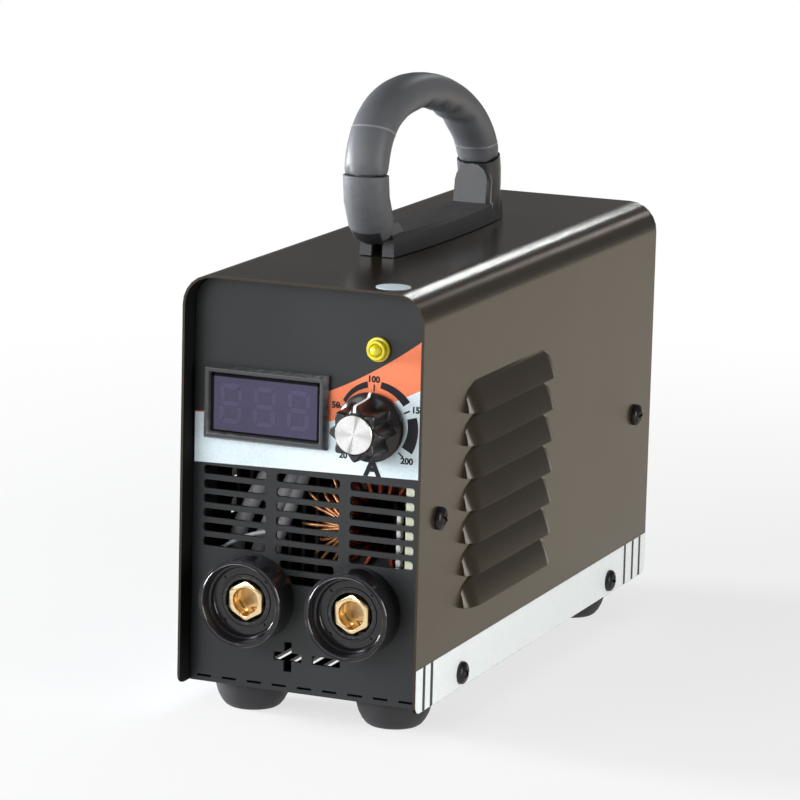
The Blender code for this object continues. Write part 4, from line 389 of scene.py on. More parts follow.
def make_finishes(tones):
    """Every finish of the machine, by the name of its record slot or its print."""
    for build in (grain_group, wear_and_highlight_group, dust_group, rings_group, painted_reflection_group):
        build()
    low = {"Specular_IOR_Level": 0.35}
    looks = {
        "powder_coat": dict(base=tones.casing, roughness=0.23, grain=2300, drift=0.16, bump=0.00003,
                            dust=0.03, Specular_Tint=(1.0, 0.94, 0.85, 1.0)),
        "panel_coat": dict(base=tones.panel, roughness=0.38, grain=2300, drift=0.16, bump=0.00004,
                           dust=0.02),
        "black_plastic": dict(base=tones.plastic, roughness=0.26, grain=900, drift=0.12, bump=0.00001,
                              wear=0.25, worn=(0.12, 0.12, 0.12)),
        "socket_plastic": dict(base=(0.012, 0.012, 0.014), roughness=0.14, grain=700, drift=0.10,
                               bump=0.00001, wear=0.3, worn=(0.16, 0.16, 0.17)),
        "knob_plastic": dict(base=(0.014, 0.012, 0.012), roughness=0.27, grain=900, drift=0.2, bump=0.00001,
                             wear=0.3, worn=(0.12, 0.12, 0.12)),
        # the bezel's light rims are partly wear, partly a painted highlight of its bevelled edge
        "bezel_plastic": dict(base=(0.050, 0.051, 0.055), roughness=0.26, grain=900, drift=0.15,
                              bump=0.00001, wear=0.5, worn=(0.30, 0.31, 0.32)),
        "handle_plastic": dict(base=(0.026, 0.027, 0.030), roughness=0.34, grain=1100, drift=0.3,
                               bump=0.00004),
        "seam_light": dict(base=(0.20, 0.205, 0.215), roughness=0.4, grain=1500, drift=0.5, bump=0.00001),
        "cable_sleeve": dict(base=(0.40, 0.40, 0.42), roughness=0.38, grain=900, drift=0.2, bump=0.00002),
        "bright_copper": dict(base=(0.98, 0.48, 0.22), roughness=0.22, metallic=0.7, grain=800, drift=0.2,
                              bump=0.00001),
        "handle_rubber": dict(base=tones.grip, roughness=0.48, grain=1700, drift=0.3, bump=0.00006,
                              wear=0.3, worn=(0.26, 0.27, 0.28), Specular_IOR_Level=0.35),
        "foot_rubber": dict(base=tones.foot, roughness=0.62, grain=1200, drift=0.3, bump=0.00006, wear=0.3,
                            worn=(0.09, 0.09, 0.09)),
        "copper": dict(base=tones.copper, roughness=0.24, metallic=1.0, grain=800, drift=0.35,
                       bump=0.00001),
        "enamelled_wire": dict(base=(0.34, 0.07, 0.03), roughness=0.26, metallic=0.85, grain=500, drift=0.5,
                               bump=0.00001, Coat_Weight=0.4),
        "aluminium": dict(base=(0.05, 0.05, 0.055), roughness=0.50, metallic=0.6, grain=1500, drift=0.25,
                          bump=0.00002),
        "black_screw": dict(base=(0.018, 0.018, 0.020), roughness=0.32, metallic=0.7, grain=900, drift=0.3,
                            bump=0.00001, wear=0.6, worn=(0.35, 0.35, 0.35)),
        "zinc_steel": dict(base=(0.55, 0.56, 0.56), roughness=0.34, metallic=1.0, grain=900, drift=0.3,
                           bump=0.00001),
        "tinted_window": dict(base=tones.window, roughness=0.10, grain=500, drift=0.06, bump=0.0),
        "digit_grey": dict(base=(0.018, 0.013, 0.030), roughness=0.5, grain=900, drift=0.1, bump=0.0),
        "digit_face": dict(base=(0.058, 0.050, 0.108), roughness=0.16, grain=900, drift=0.1, bump=0.0),
        "amber_plastic": dict(base=tones.lamp, roughness=0.22, grain=600, drift=0.15, bump=0.00001,
                              Coat_Weight=0.4),
        "board_green": dict(base=(0.02, 0.10, 0.05), roughness=0.45, grain=600, drift=0.3, bump=0.00002),
        "ferrite": dict(base=(0.05, 0.05, 0.05), roughness=0.55, grain=1200, drift=0.3, bump=0.00005),
        "tape_yellow": dict(base=(0.62, 0.46, 0.08), roughness=0.42, grain=500, drift=0.2, bump=0.00003),
        "cream_nylon": dict(base=(0.66, 0.68, 0.52), roughness=0.42, grain=900, drift=0.2, bump=0.00002),
        "capacitor_sleeve": dict(base=(0.02, 0.03, 0.06), roughness=0.3, grain=700, drift=0.2,
                                 bump=0.00001),
        "light_print": dict(base=tones.field, roughness=0.42, grain=1500, drift=0.05, bump=0.000005, **low),
        "warm_print": dict(base=tones.wedge, roughness=0.42, grain=1500, drift=0.06, bump=0.000005, **low),
        "dark_print": dict(base=tones.ink, roughness=0.42, grain=1500, drift=0.10, bump=0.000005, **low),
        "brass_ledge": dict(base=(0.95, 0.74, 0.42), roughness=0.38, metallic=0.6, grain=700, drift=0.2,
                            bump=0.00001),
        # near-black and barely reflecting: painted shade for the cover's inside faces and the meter window's
        # edges
        "painted_inner_shade": dict(base=(0.006, 0.006, 0.006), roughness=0.75, grain=2300, drift=0.2, bump=0.00003,
                           Specular_IOR_Level=0.08),
        "strip_print": dict(base=(0.90, 0.96, 0.98), roughness=0.42, grain=1500, drift=0.05, bump=0.000005),
        "pointer_white": dict(base=(0.93, 0.93, 0.91), roughness=0.4, grain=900, drift=0.1, bump=0.0),
    }
    return {name: finish(name, **look) for name, look in looks.items()}


# ------------------------------------------------------------------ modelling helpers
def only(obj):
    """Select this object alone."""
    bpy.ops.object.select_all(action="DESELECT")
    obj.select_set(True)
    bpy.context.view_layer.objects.active = obj


def settled(obj, name, material, slot, body="casing", smooth=30.0):
    """Put a finished piece's place into its mesh, shade it, give it its finish and let it ride."""
    only(obj)
    bpy.ops.object.transform_apply(location=True, rotation=True, scale=True)
    bpy.ops.object.shade_smooth_by_angle(angle=math.radians(smooth))
    obj.name = name
    obj.data.name = name
    obj.data.materials.clear()
    obj.data.materials.append(material)
    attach(obj, body)
    return obj


def begun(add, **values):
    """Start a piece from one of Blender's primitives, with nothing else selected."""
    bpy.ops.object.select_all(action="DESELECT")
    add(**values)
    return bpy.context.object


def modifier(obj, kind, **values):
    """Add a modifier and apply it."""
    only(obj)
    made = obj.modifiers.new(kind.title(), kind)
    for key, value in values.items():
        setattr(made, key, value)
    bpy.ops.object.modifier_apply(modifier=made.name)


def carve(obj, cutter, operation="DIFFERENCE"):
    """Cut a piece with another one, which is then gone."""
    modifier(obj, "BOOLEAN", operation=operation, object=cutter, solver="EXACT")
    bpy.data.objects.remove(cutter, do_unlink=True)


def flat_walls_again(obj):
    """Fill each flat wall that has holes anew, so that no face crosses the rounded rims of the holes."""
    def lies(face, axis, place):
        return abs(face.normal[axis]) > 0.9999 and abs(face.center[axis] - place) < 0.000002

    walls = set()
    for face in obj.data.polygons:
        axis = max(range(3), key=lambda i: abs(face.normal[i]))
        if len(face.vertices) > 12 and abs(face.normal[axis]) > 0.9999:
            walls.add((axis, round(face.center[axis], 6)))
    only(obj)
    for axis, place in sorted(walls):
        bpy.ops.object.mode_set(mode="EDIT")
        bpy.ops.mesh.select_mode(type="FACE")
        bpy.ops.mesh.select_all(action="DESELECT")
        bpy.ops.object.mode_set(mode="OBJECT")
        for face in obj.data.polygons:
            face.select = lies(face, axis, place)
        bpy.ops.object.mode_set(mode="EDIT")
        bpy.ops.mesh.delete(type="ONLY_FACE")
        bpy.ops.mesh.select_mode(type="EDGE")
        bpy.ops.mesh.select_all(action="DESELECT")
        bpy.ops.mesh.select_loose()
        bpy.ops.mesh.delete(type="EDGE")
        bpy.ops.mesh.select_non_manifold(extend=False, use_wire=False, use_boundary=True,
                                         use_multi_face=False, use_non_contiguous=False, use_verts=False)
        bpy.ops.mesh.fill(use_beauty=True)
        bpy.ops.mesh.dissolve_limited(angle_limit=math.radians(0.1))
        bpy.ops.mesh.select_all(action="SELECT")
        bpy.ops.mesh.normals_make_consistent(inside=False)
        bpy.ops.object.mode_set(mode="OBJECT")


def dressed(source, material, slot, body="casing", edge=0.0, segments=2, angle=35.0, subdivide=0,
            smooth=40.0):
    """A welded copy of a CAD node with rounded edges, which stands for the node."""
    only(frame["nodes"][source])
    bpy.ops.object.duplicate(linked=False)
    obj = bpy.context.object
    bpy.ops.object.parent_clear(type="CLEAR_KEEP_TRANSFORM")
    for old in list(obj.modifiers):
        obj.modifiers.remove(old)
    bpy.ops.object.mode_set(mode="EDIT")
    bpy.ops.mesh.select_all(action="SELECT")
    bpy.ops.mesh.remove_doubles(threshold=0.000002)
    bpy.ops.mesh.customdata_custom_splitnormals_clear()
    if subdivide:
        bpy.ops.mesh.tris_convert_to_quads(face_threshold=math.radians(60),
                                           shape_threshold=math.radians(60))
    else:
        bpy.ops.mesh.dissolve_limited(angle_limit=math.radians(0.4))
    bpy.ops.mesh.normals_make_consistent(inside=False)
    bpy.ops.object.mode_set(mode="OBJECT")
    if edge:
        modifier(obj, "BEVEL", width=edge, segments=segments, limit_method="ANGLE",
                 angle_limit=math.radians(angle), miter_outer="MITER_ARC")
        flat_walls_again(obj)
    if subdivide:
        modifier(obj, "SUBSURF", levels=subdivide, render_levels=subdivide)
    settled(obj, source + "_skin", material, slot, body, smooth)
    modifier(obj, "WEIGHTED_NORMAL", keep_sharp=True)
    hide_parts(source)
    return obj


def sheet(count, place):
    """A grid whose points (share along, 0 or 1 across) a rule places."""
    obj = begun(bpy.ops.mesh.primitive_grid_add, x_subdivisions=count, y_subdivisions=1, size=2.0)
    for vertex in obj.data.vertices:
        vertex.co = place((vertex.co.x + 1) / 2, 0.0 if vertex.co.y < 0 else 1.0)
    return obj


def ribbon(count, place, thickness):
    """A flat grid that a rule places, with a thickness."""
    obj = sheet(count, place)
    thicken(obj, thickness)
    return obj


def oblong(left, right, low, high):
    """Rule for a ribbon: an upright oblong between these edges."""
    def place(along, across):
        return Vector((left + (right - left) * along, low + (high - low) * across, 0))
    return place


def thicken(obj, thickness):
    """Give a flat piece in the XY plane a body above it."""
    only(obj)
    bpy.ops.object.mode_set(mode="EDIT")
    bpy.ops.mesh.select_all(action="SELECT")
    bpy.ops.mesh.extrude_region_move(TRANSFORM_OT_translate={"value": (0, 0, thickness)})
    bpy.ops.mesh.select_all(action="SELECT")
    bpy.ops.mesh.normals_make_consistent(inside=False)
    bpy.ops.object.mode_set(mode="OBJECT")


def print_flat(obj, turn, place, name, material, slot="powder_coat"):
    """Turn a flat piece onto its wall and finish it."""
    obj.matrix_world = Matrix.Translation(place) @ turn
    return settled(obj, name, material, slot)


def turned(profile, segments, turn, place, closed=False):
    """A round piece: a disc, extruded and scaled ring by ring along (radius, height)."""
    radius, height = profile[0]
    obj = begun(bpy.ops.mesh.primitive_circle_add, vertices=segments, radius=radius, fill_type="NGON",
                location=(0, 0, height))
    bpy.ops.object.transform_apply(location=True)
    bpy.ops.object.mode_set(mode="EDIT")
    bpy.ops.mesh.select_all(action="SELECT")
    for next_radius, next_height in profile[1:]:
        bpy.ops.mesh.extrude_region_move(TRANSFORM_OT_translate={"value": (0, 0, next_height - height)})
        share = next_radius / radius
        bpy.ops.transform.resize(value=(share, share, 1.0), center_override=(0, 0, next_height))
        radius, height = next_radius, next_height
    if closed:
        bpy.ops.mesh.edge_face_add()
    bpy.ops.mesh.select_all(action="SELECT")
    bpy.ops.mesh.normals_make_consistent(inside=False)
    bpy.ops.object.mode_set(mode="OBJECT")
    obj.matrix_world = Matrix.Translation(place) @ turn
    only(obj)
    bpy.ops.object.transform_apply(location=True, rotation=True, scale=True)
    return obj


def strand(points, radius, name, material):
    """A round wire along a smooth path."""
    obj = begun(bpy.ops.curve.primitive_nurbs_path_add)
    for knot, point in zip(obj.data.splines[0].points, points):
        knot.co = (*point, 1.0)
    obj.data.bevel_depth = radius
    obj.data.bevel_resolution = 3
    obj.data.resolution_u = 8
    obj.data.use_fill_caps = True
    bpy.ops.object.convert(target="MESH")
    return settled(bpy.context.object, name, material, "copper", smooth=60)


def lettering(text, height, turn, place, name, material, bold=0.0, slot="panel_coat"):
    """Plain raised print, centred on its place."""
    obj = begun(bpy.ops.object.text_add)
    obj.data.body = text
    obj.data.size = height / 0.72
    obj.data.align_x, obj.data.align_y = "CENTER", "CENTER"
    obj.data.offset = bold
    obj.data.resolution_u = 3
    obj.data.extrude = sizes().print_depth / 4
    bpy.ops.object.convert(target="MESH")
    obj = bpy.context.object
    obj.matrix_world = Matrix.Translation(place) @ turn
    return settled(obj, name, material, slot)


def sizes():
    """The sizes of the scene."""
    return bpy.context.scene.inverter_sizes


def tones():
    """The colours of the scene."""
    return bpy.context.scene.inverter_colours


FINISH = {}


# ------------------------------------------------------------------ the pieces
class INVERTER_OT_finishes(bpy.types.Operator):
    """Make the finishes and put them on the solids"""
    bl_idname = "inverter.finishes"
    bl_label = "Finishes"

    def execute(self, context):
        FINISH.update(make_finishes(tones()))
        slots = {part["node"]: part["material_slot"] for part in frame["record"]["subparts"]}
        for name, obj in frame["nodes"].items():
            slot = slots[name]
            if slot == "brass":
                made = finish(name + "_brass", tones().brass, 0.20, 1.0, grain=700, drift=0.2,
                              bump=0.000012, rings=middle(name))
            elif slot == "spun_aluminium":
                # the spun cap's colour carries a painted reflection: light and dark wedges round its middle
                made = finish("spun_aluminium", tones().bright, 0.26, 1.0, grain=900, drift=0.04,
                              bump=0.000006, rings=middle(name), painted_reflection=True)
            elif name.startswith("socket_collar"):
                made = FINISH["socket_plastic"]
            else:
                made = FINISH[slot]
            FINISH[name] = made
            obj.data.materials.clear()
            obj.data.materials.append(made)
        return {"FINISHED"}


class INVERTER_OT_casing(bpy.types.Operator):
    """Round the edges of the cover and the folded panels"""
    bl_idname = "inverter.casing"
    bl_label = "Casing"

    def execute(self, context):
        edge = sizes().edge
        cover = dressed("cover_shell", FINISH["powder_coat"], "powder_coat", edge=edge, angle=38)
        cover.data.materials.append(FINISH["painted_inner_shade"])
        # the cover's inside faces get the near-black finish: painted shade inside the casing
        for face in cover.data.polygons:
            spot, facing = face.center, face.normal
            beside = abs(spot.x) < CASE_HALF - 0.0006 and facing.x * spot.x < 0 and abs(facing.x) > 0.3
            above = spot.z < CASE_TOP - 0.0006 and facing.z < -0.3
            if beside or above:
                face.material_index = 1
        dressed("chassis", FINISH["panel_coat"], "panel_coat", edge=edge / 2, segments=1, angle=50)
        dressed("rear_panel", FINISH["panel_coat"], "panel_coat", edge=edge / 2, segments=1, angle=50)
        return {"FINISHED"}


def wedge_top(x):
    """Upper edge of the warm wedge above the casing's lower edge, at a place across the panel."""
    rising = max(x - KNEE, 0.0)
    share = min(max((x - LABEL_LEFT) / (KNEE - LABEL_LEFT), 0.0), 1.0)
    return 0.0963 + 0.0118 * share ** 1.5 + 0.44 * rising + 4.6 * rising ** 2


def wedge_low(x):
    """Lower edge of the warm wedge, where the light field starts."""
    rising = max(x - KNEE, 0.0)
    return 0.0960 + 0.0015 * (x - LABEL_LEFT) / (KNEE - LABEL_LEFT) + 0.27 * rising + 3.4 * rising ** 2


def field_low(x):
    """Lower edge of the light field."""
    return 0.0784 + 0.0024 * (x - LABEL_LEFT) / 0.0874


def between(low, high):
    """Rule for a ribbon across the front panel between two edges."""
    half = PANEL_HALF - 0.0004

    def place(along, across):
        x = -half + 2 * half * along
        return Vector((x, low(x) + (high(x) - low(x)) * across, 0))
    return place


class INVERTER_OT_label(bpy.types.Operator):
    """Make the light field and the warm wedge on the front panel"""
    bl_idname = "inverter.label"
    bl_label = "Front label"

    def execute(self, context):
        for name, low, high, look in (("label_light_field", field_low, wedge_low, "light_print"),
                                      ("label_warm_wedge", wedge_low, wedge_top, "warm_print")):
            piece = ribbon(48, between(low, high), sizes().print_depth)
            print_flat(piece, FRONT_TURN, (0, PANEL_Y - PRINT_GAP, LIFT), name, FINISH[look], "panel_coat")
        return {"FINISHED"}


class INVERTER_OT_dial(bpy.types.Operator):
    """Make the dial round the knob: tapering arcs, ticks and plain numbers"""
    bl_idname = "inverter.dial"
    bl_label = "Dial"

    def execute(self, context):
        axis = middle("pot_shaft")
        depth = sizes().print_depth
        y = PANEL_Y - 2 * PRINT_GAP - depth
        ink = FINISH["dark_print"]
        arcs = ((-54, -8, (0.0125, 0.0134), (0.0137, 0.0156)),
                (11, 54.5, (0.0137, 0.0138), (0.0160, 0.0168)),
                (74, 119, (0.0133, 0.0126), (0.0169, 0.0169)),
                (-122, -76, (0.0129, 0.0127), (0.0136, 0.0139)))
        for number, (start, stop, inner, outer) in enumerate(arcs, 1):
            piece = ribbon(20, self.arc(start, stop, inner, outer), depth / 2)
            print_flat(piece, FRONT_TURN, (axis.x, y, axis.z), f"dial_arc_{number}", ink, "panel_coat")
        ticks = ((-130, 0.0128), (-65, 0.0128), (1.5, 0.0122), (64, 0.0128), (129.6, 0.0126))
        half = math.degrees(0.00026 / 0.0138)
        for number, (angle, inner) in enumerate(ticks, 1):
            outer = inner + 0.0024
            rule = self.arc(angle - half, angle + half, (inner, inner), (outer, outer))
            piece = ribbon(2, rule, depth / 2)
            print_flat(piece, FRONT_TURN, (axis.x, y, axis.z), f"dial_tick_{number}", ink, "panel_coat")
        numbers = (("20", -0.0106, -0.0112), ("50", -0.0137, 0.0060), ("100", 0.0001, 0.0163),
                   ("150", 0.0166, 0.0071), ("200", 0.0130, -0.0109))
        for text, x, z in numbers:
            place = (axis.x + x, y - PRINT_GAP, axis.z + z)
            lettering(text, sizes().numeral, FRONT_TURN, place, "dial_number_" + text, ink, bold=0.00013)
        place = (axis.x + 0.0003, y - PRINT_GAP, axis.z - 0.0146)
        lettering("A", 0.0058, FRONT_TURN, place, "dial_unit", ink, bold=0.00045)
        return {"FINISHED"}

    def arc(self, start, stop, inner, outer):
        """Rule for a ribbon: an arc whose inner and outer radius change from its start to its stop."""
        def place(along, across):
            angle = math.radians(start + (stop - start) * along)
            low = inner[0] + (inner[1] - inner[0]) * along
            high = outer[0] + (outer[1] - outer[0]) * along
            radius = high + (low - high) * across
            return Vector((radius * math.sin(angle), radius * math.cos(angle), 0))
        return place


class INVERTER_OT_meter(bpy.types.Operator):
    """Make the digital meter's frame, the painted shadow along its window's edges and its unlit digits"""
    bl_idname = "inverter.meter"
    bl_label = "Digital meter"

    def execute(self, context):
        dressed("display_bezel", FINISH["bezel_plastic"], "black_plastic", edge=0.0006, segments=3,
                angle=25)
        low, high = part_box("display_window")
        centre = middle("display_window")
        front = low[1] - PRINT_GAP / 2
        # dark bars paint the shadow that the bezel casts on the window
        self.shadow_bars(centre, front, (high[0] - low[0]) / 2, (high[2] - low[2]) / 2)
        self.digits(centre, front)
        return {"FINISHED"}

    def shadow_bars(self, centre, front, wide, tall):
        """Painted shadow: dark bars along the window's edges, where the bezel shades the recessed window."""
        bars = ((-wide, wide, tall - 0.0008, tall), (-wide, wide, -tall, 0.0004 - tall),
                (-wide, 0.0010 - wide, -tall, tall), (wide - 0.0006, wide, -tall, tall))
        for number, edges in enumerate(bars, 1):
            piece = ribbon(2, oblong(*edges), 0.00003)
            print_flat(piece, FRONT_TURN, (centre.x, front, centre.z), f"meter_painted_shadow_{number}",
                       FINISH["painted_inner_shade"], "tinted_window")

    def digits(self, centre, front):
        """Three unlit digits of seven segments each."""
        high = sizes().digit_height
        wide, bar = high * 0.60, high * 0.135
        edge = wide / 2 - bar / 2
        legs = ((0, high / 2 - bar / 2, wide, 0), (0, 0, wide, 0), (0, -high / 2 + bar / 2, wide, 0),
                (-edge, high / 4, high / 2, 90), (edge, high / 4, high / 2, 90),
                (-edge, -high / 4, high / 2, 90), (edge, -high / 4, high / 2, 90))
        for digit in range(3):
            for number, (x, z, run, angle) in enumerate(legs, 1):
                piece = self.segment(run - bar * 1.08, bar)
                across = centre.x + (digit - 1) * sizes().digit_pitch + x + z * 0.04
                turn = FRONT_TURN @ Matrix.Rotation(math.radians(angle), 4, "Z")
                print_flat(piece, turn, (across, front, centre.z + z), f"meter_digit_{digit + 1}_{number}",
                           FINISH["digit_face"], "digit_grey")

    def segment(self, run, bar):
        """A bar with pointed ends."""
        obj = begun(bpy.ops.mesh.primitive_circle_add, vertices=6, radius=bar / 2, fill_type="NGON")
        for vertex in obj.data.vertices:
            along, across = vertex.co.y, vertex.co.x
            vertex.co.x = along + math.copysign((run - bar) / 2, along)
            vertex.co.y = across
        thicken(obj, 0.00004)
        return obj


class INVERTER_OT_lamp(bpy.types.Operator):
    """Make the yellow indicator lamp with its stepped holder"""
    bl_idname = "inverter.lamp"
    bl_label = "Indicator lamp"

    def execute(self, context):
        low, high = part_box("lamp_holder")
        centre = middle("lamp_holder")
        reach = PANEL_Y - low[1]
        radius = (high[0] - low[0]) / 2
        place = (centre.x, PANEL_Y, centre.z)
        profile = [(radius * 0.7, 0.0002), (radius * 0.97, 0.0002), (radius, 0.0005),
                   (radius, reach * 0.28), (radius * 0.94, reach * 0.38), (radius * 0.83, reach * 0.42),
                   (radius * 0.80, reach * 0.50), (radius * 0.80, reach * 0.90),
                   (radius * 0.76, reach * 0.98), (radius * 0.68, reach), (radius * 0.56, reach * 0.97),
                   (radius * 0.53, reach * 0.90), (radius * 0.52, reach * 0.55)]
        holder = turned(profile, 48, FRONT_TURN, place)
        settled(holder, "lamp_holder_skin", FINISH["amber_plastic"], "amber_plastic", smooth=35)
        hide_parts("lamp_holder")
        low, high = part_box("lamp_lens")
        radius, reach = (high[0] - low[0]) / 2, PANEL_Y - low[1]
        profile = [(radius * 0.9, -0.001), (radius, 0.0)]
        for step in range(8):
            angle = math.radians(step * 12)
            profile.append((radius * math.cos(angle), reach - radius * (1 - math.sin(angle))))
        lens = turned(profile, 40, FRONT_TURN, place)
        settled(lens, "lamp_lens_skin", FINISH["amber_plastic"], "amber_plastic", smooth=60)
        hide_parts("lamp_lens")
        return {"FINISHED"}


class INVERTER_OT_knob(bpy.types.Operator):
    """Make the fluted knob with its skirt and pointer line"""
    bl_idname = "inverter.knob"
    bl_label = "Current knob"

    def execute(self, context):
        low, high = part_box("knob")
        centre = middle("knob")
        foot, reach = PANEL_Y - high[1], PANEL_Y - low[1]
        step = reach * 0.28                         # where the skirt ends and the flutes start
        place = (centre.x, PANEL_Y, centre.z)
        self.body(place, foot, step, reach)
        self.pointer(place, step, reach)
        self.spun_cap(place, reach)
        return {"FINISHED"}

    def body(self, place, foot, step, reach):
        """The skirt and the fluted grip, with a rim round the cap."""
        skirt, cap = sizes().skirt, sizes().cap + 0.0003
        profile = [(skirt * 0.75, foot), (skirt - 0.0004, foot), (skirt, foot + 0.0004),
                   (skirt, step - 0.0019), (skirt - 0.0001, step - 0.0015),
                   (skirt - 0.0004, step - 0.0012), (0.0106, step - 0.0006), (0.0103, step),
                   (0.0102, step + 0.0006), (0.0101, reach * 0.45), (0.0100, reach * 0.62),
                   (0.0099, reach * 0.80), (0.0098, reach - 0.0011), (0.0096, reach - 0.0005),
                   (0.0091, reach - 0.0001), (cap + 0.0003, reach), (cap, reach - 0.0003),
                   (cap, reach - 0.0009)]
        knob = turned(profile, 16 * sizes().flutes, UNTURNED, (0, 0, 0))
        for vertex in knob.data.vertices:
            radius = math.hypot(vertex.co.x, vertex.co.y)
            if vertex.co.z > step - 0.0001 and radius > cap + 0.0001:
                angle = math.atan2(vertex.co.y, vertex.co.x) - math.pi / 2
                wave = 0.5 - 0.5 * math.cos(sizes().flutes * angle)
                ease = min((vertex.co.z - step + 0.0006) / 0.0010, 1.0) * min((radius - cap) / 0.0016, 1.0)
                share = 1.0 - 0.0023 * wave ** 0.8 * ease / radius
                vertex.co.x *= share
                vertex.co.y *= share
        knob.matrix_world = Matrix.Translation(place) @ FRONT_TURN
        settled(knob, "knob_skin", FINISH["knob_plastic"], "black_plastic", "knob", smooth=35)
        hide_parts("knob")

    def pointer(self, place, step, reach):
        """The light line that runs over the knob's top, down its side and over the skirt."""
        skirt, cap = sizes().skirt, sizes().cap + 0.0003
        line = [(cap + 0.0004, reach + 0.00005), (0.0090, reach + 0.00003), (0.0099, reach - 0.0006),
                (0.0101, reach * 0.80), (0.0102, reach * 0.55), (0.0105, step + 0.0008),
                (0.0107, step - 0.0002), (skirt - 0.0010, step - 0.0007),
                (skirt - 0.0001, step - 0.0013), (skirt + 0.0001, step - 0.0019)]
        count = len(line) - 1

        def along_line(along, across):
            radius, height = line[round(along * count)]
            return Vector(((across - 0.5) * 0.0010, radius, height))

        pointer = sheet(count, along_line)
        modifier(pointer, "SOLIDIFY", thickness=0.0001, offset=0.0)
        pointer.matrix_world = Matrix.Translation(place) @ FRONT_TURN
        settled(pointer, "knob_pointer", FINISH["pointer_white"], "black_plastic", "knob")

    def spun_cap(self, place, reach):
        """The spun metal cap, whose finish carries a painted reflection."""
        cap = sizes().cap
        front = PANEL_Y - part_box("knob_cap")[0][1]
        profile = [(0.0004, front - 0.0001), (0.0030, front - 0.0001), (cap - 0.0006, front),
                   (cap - 0.0002, front - 0.00005), (cap, front - 0.0003), (cap, reach - 0.0008)]
        piece = turned(profile, 96, FRONT_TURN, place)
        settled(piece, "knob_cap_skin", FINISH["knob_cap"], "spun_aluminium", "knob", smooth=25)
        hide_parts("knob_cap")


class INVERTER_OT_sockets(bpy.types.Operator):
    """Make the sockets' collars with their beaded rims and dimples, and chamfer the brass contacts"""
    bl_idname = "inverter.sockets"
    bl_label = "Output sockets"

    def execute(self, context):
        for side in ("left", "right"):
            low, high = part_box("socket_collar_" + side)
            centre = middle("socket_collar_" + side)
            place = (centre.x, PANEL_Y, centre.z)
            self.collar(side, place, (high[0] - low[0]) / 2, PANEL_Y - low[1])
            self.contact(side, place)
        return {"FINISHED"}

    def collar(self, side, place, rim, reach):
        """The collar: a beaded rim, a sloping ledge, a ringed floor and four dimples."""
        floor = sizes().socket_floor
        profile = [(0.0060, floor), (0.0088, floor), (0.0090, floor + 0.0004), (0.0094, floor + 0.0004),
                   (0.0096, floor), (0.0119, floor), (0.0122, floor + 0.0003), (0.0126, floor + 0.0016),
                   (0.0131, floor + 0.0019), (0.0133, floor + 0.0023), (0.0137, reach - 0.0005),
                   (0.0138, reach - 0.0002), (0.0140, reach), (0.0143, reach - 0.0001),
                   (0.0145, reach - 0.0003), (0.0149, reach - 0.0003), (0.0151, reach - 0.0001),
                   (0.0153, reach - 0.0001), (rim, reach - 0.0004), (rim, 0.0016),
                   (rim + 0.0001, 0.0003)]
        collar = turned(profile, 96, UNTURNED, (0, 0, 0), closed=True)
        carve(collar, begun(bpy.ops.mesh.primitive_cylinder_add, vertices=96, radius=0.0077, depth=0.03))
        for number in range(4):
            angle = math.radians(45 + 90 * number)
            spot = (0.0108 * math.cos(angle), 0.0108 * math.sin(angle), floor)
            carve(collar, begun(bpy.ops.mesh.primitive_cone_add, vertices=20, radius1=0.0004,
                                radius2=0.0008, depth=0.0012, location=spot))
        collar.matrix_world = Matrix.Translation(place) @ FRONT_TURN
        settled(collar, f"socket_collar_{side}_skin", FINISH["socket_plastic"], "black_plastic", smooth=32)
        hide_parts("socket_collar_" + side)

    def contact(self, side, place):
        """The brass contact: its hexagon's corners are turned down and a keyway is cut below its bore."""
        source = "socket_contact_" + side
        piece = dressed(source, FINISH[source], "brass")
        low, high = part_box(source)
        front, back = PANEL_Y - low[1], PANEL_Y - high[1]
        profile = [(0.0066, front + 0.0001), (0.0068, front - 0.00005), (0.0071, front - 0.0004),
                   (0.0073, front - 0.0010), (0.0078, front - 0.0026), (0.0080, back - 0.001)]
        blank = turned(profile, 96, FRONT_TURN, place, closed=True)
        carve(piece, blank, "INTERSECT")
        keyway = begun(bpy.ops.mesh.primitive_cylinder_add, vertices=32, radius=0.0017, depth=0.012)
        keyway.matrix_world = Matrix.Translation((place[0], low[1] + 0.004, place[2] - 0.0039)) @ FRONT_TURN
        carve(piece, keyway)
        modifier(piece, "BEVEL", width=0.00012, segments=2, limit_method="ANGLE",
                 angle_limit=math.radians(40))
        settled(piece, source + "_skin", FINISH[source], "brass", smooth=35)
        step = front - 0.0110
        profile = [(0.0012, step - 0.008), (0.0031, step - 0.008), (0.0033, step - 0.0008),
                   (0.0036, step - 0.0002), (0.0042, step + 0.0006), (0.00455, step + 0.0016)]
        ledge = turned(profile, 64, FRONT_TURN, place)
        settled(ledge, source + "_ledge", FINISH["brass_ledge"], "brass", smooth=50)


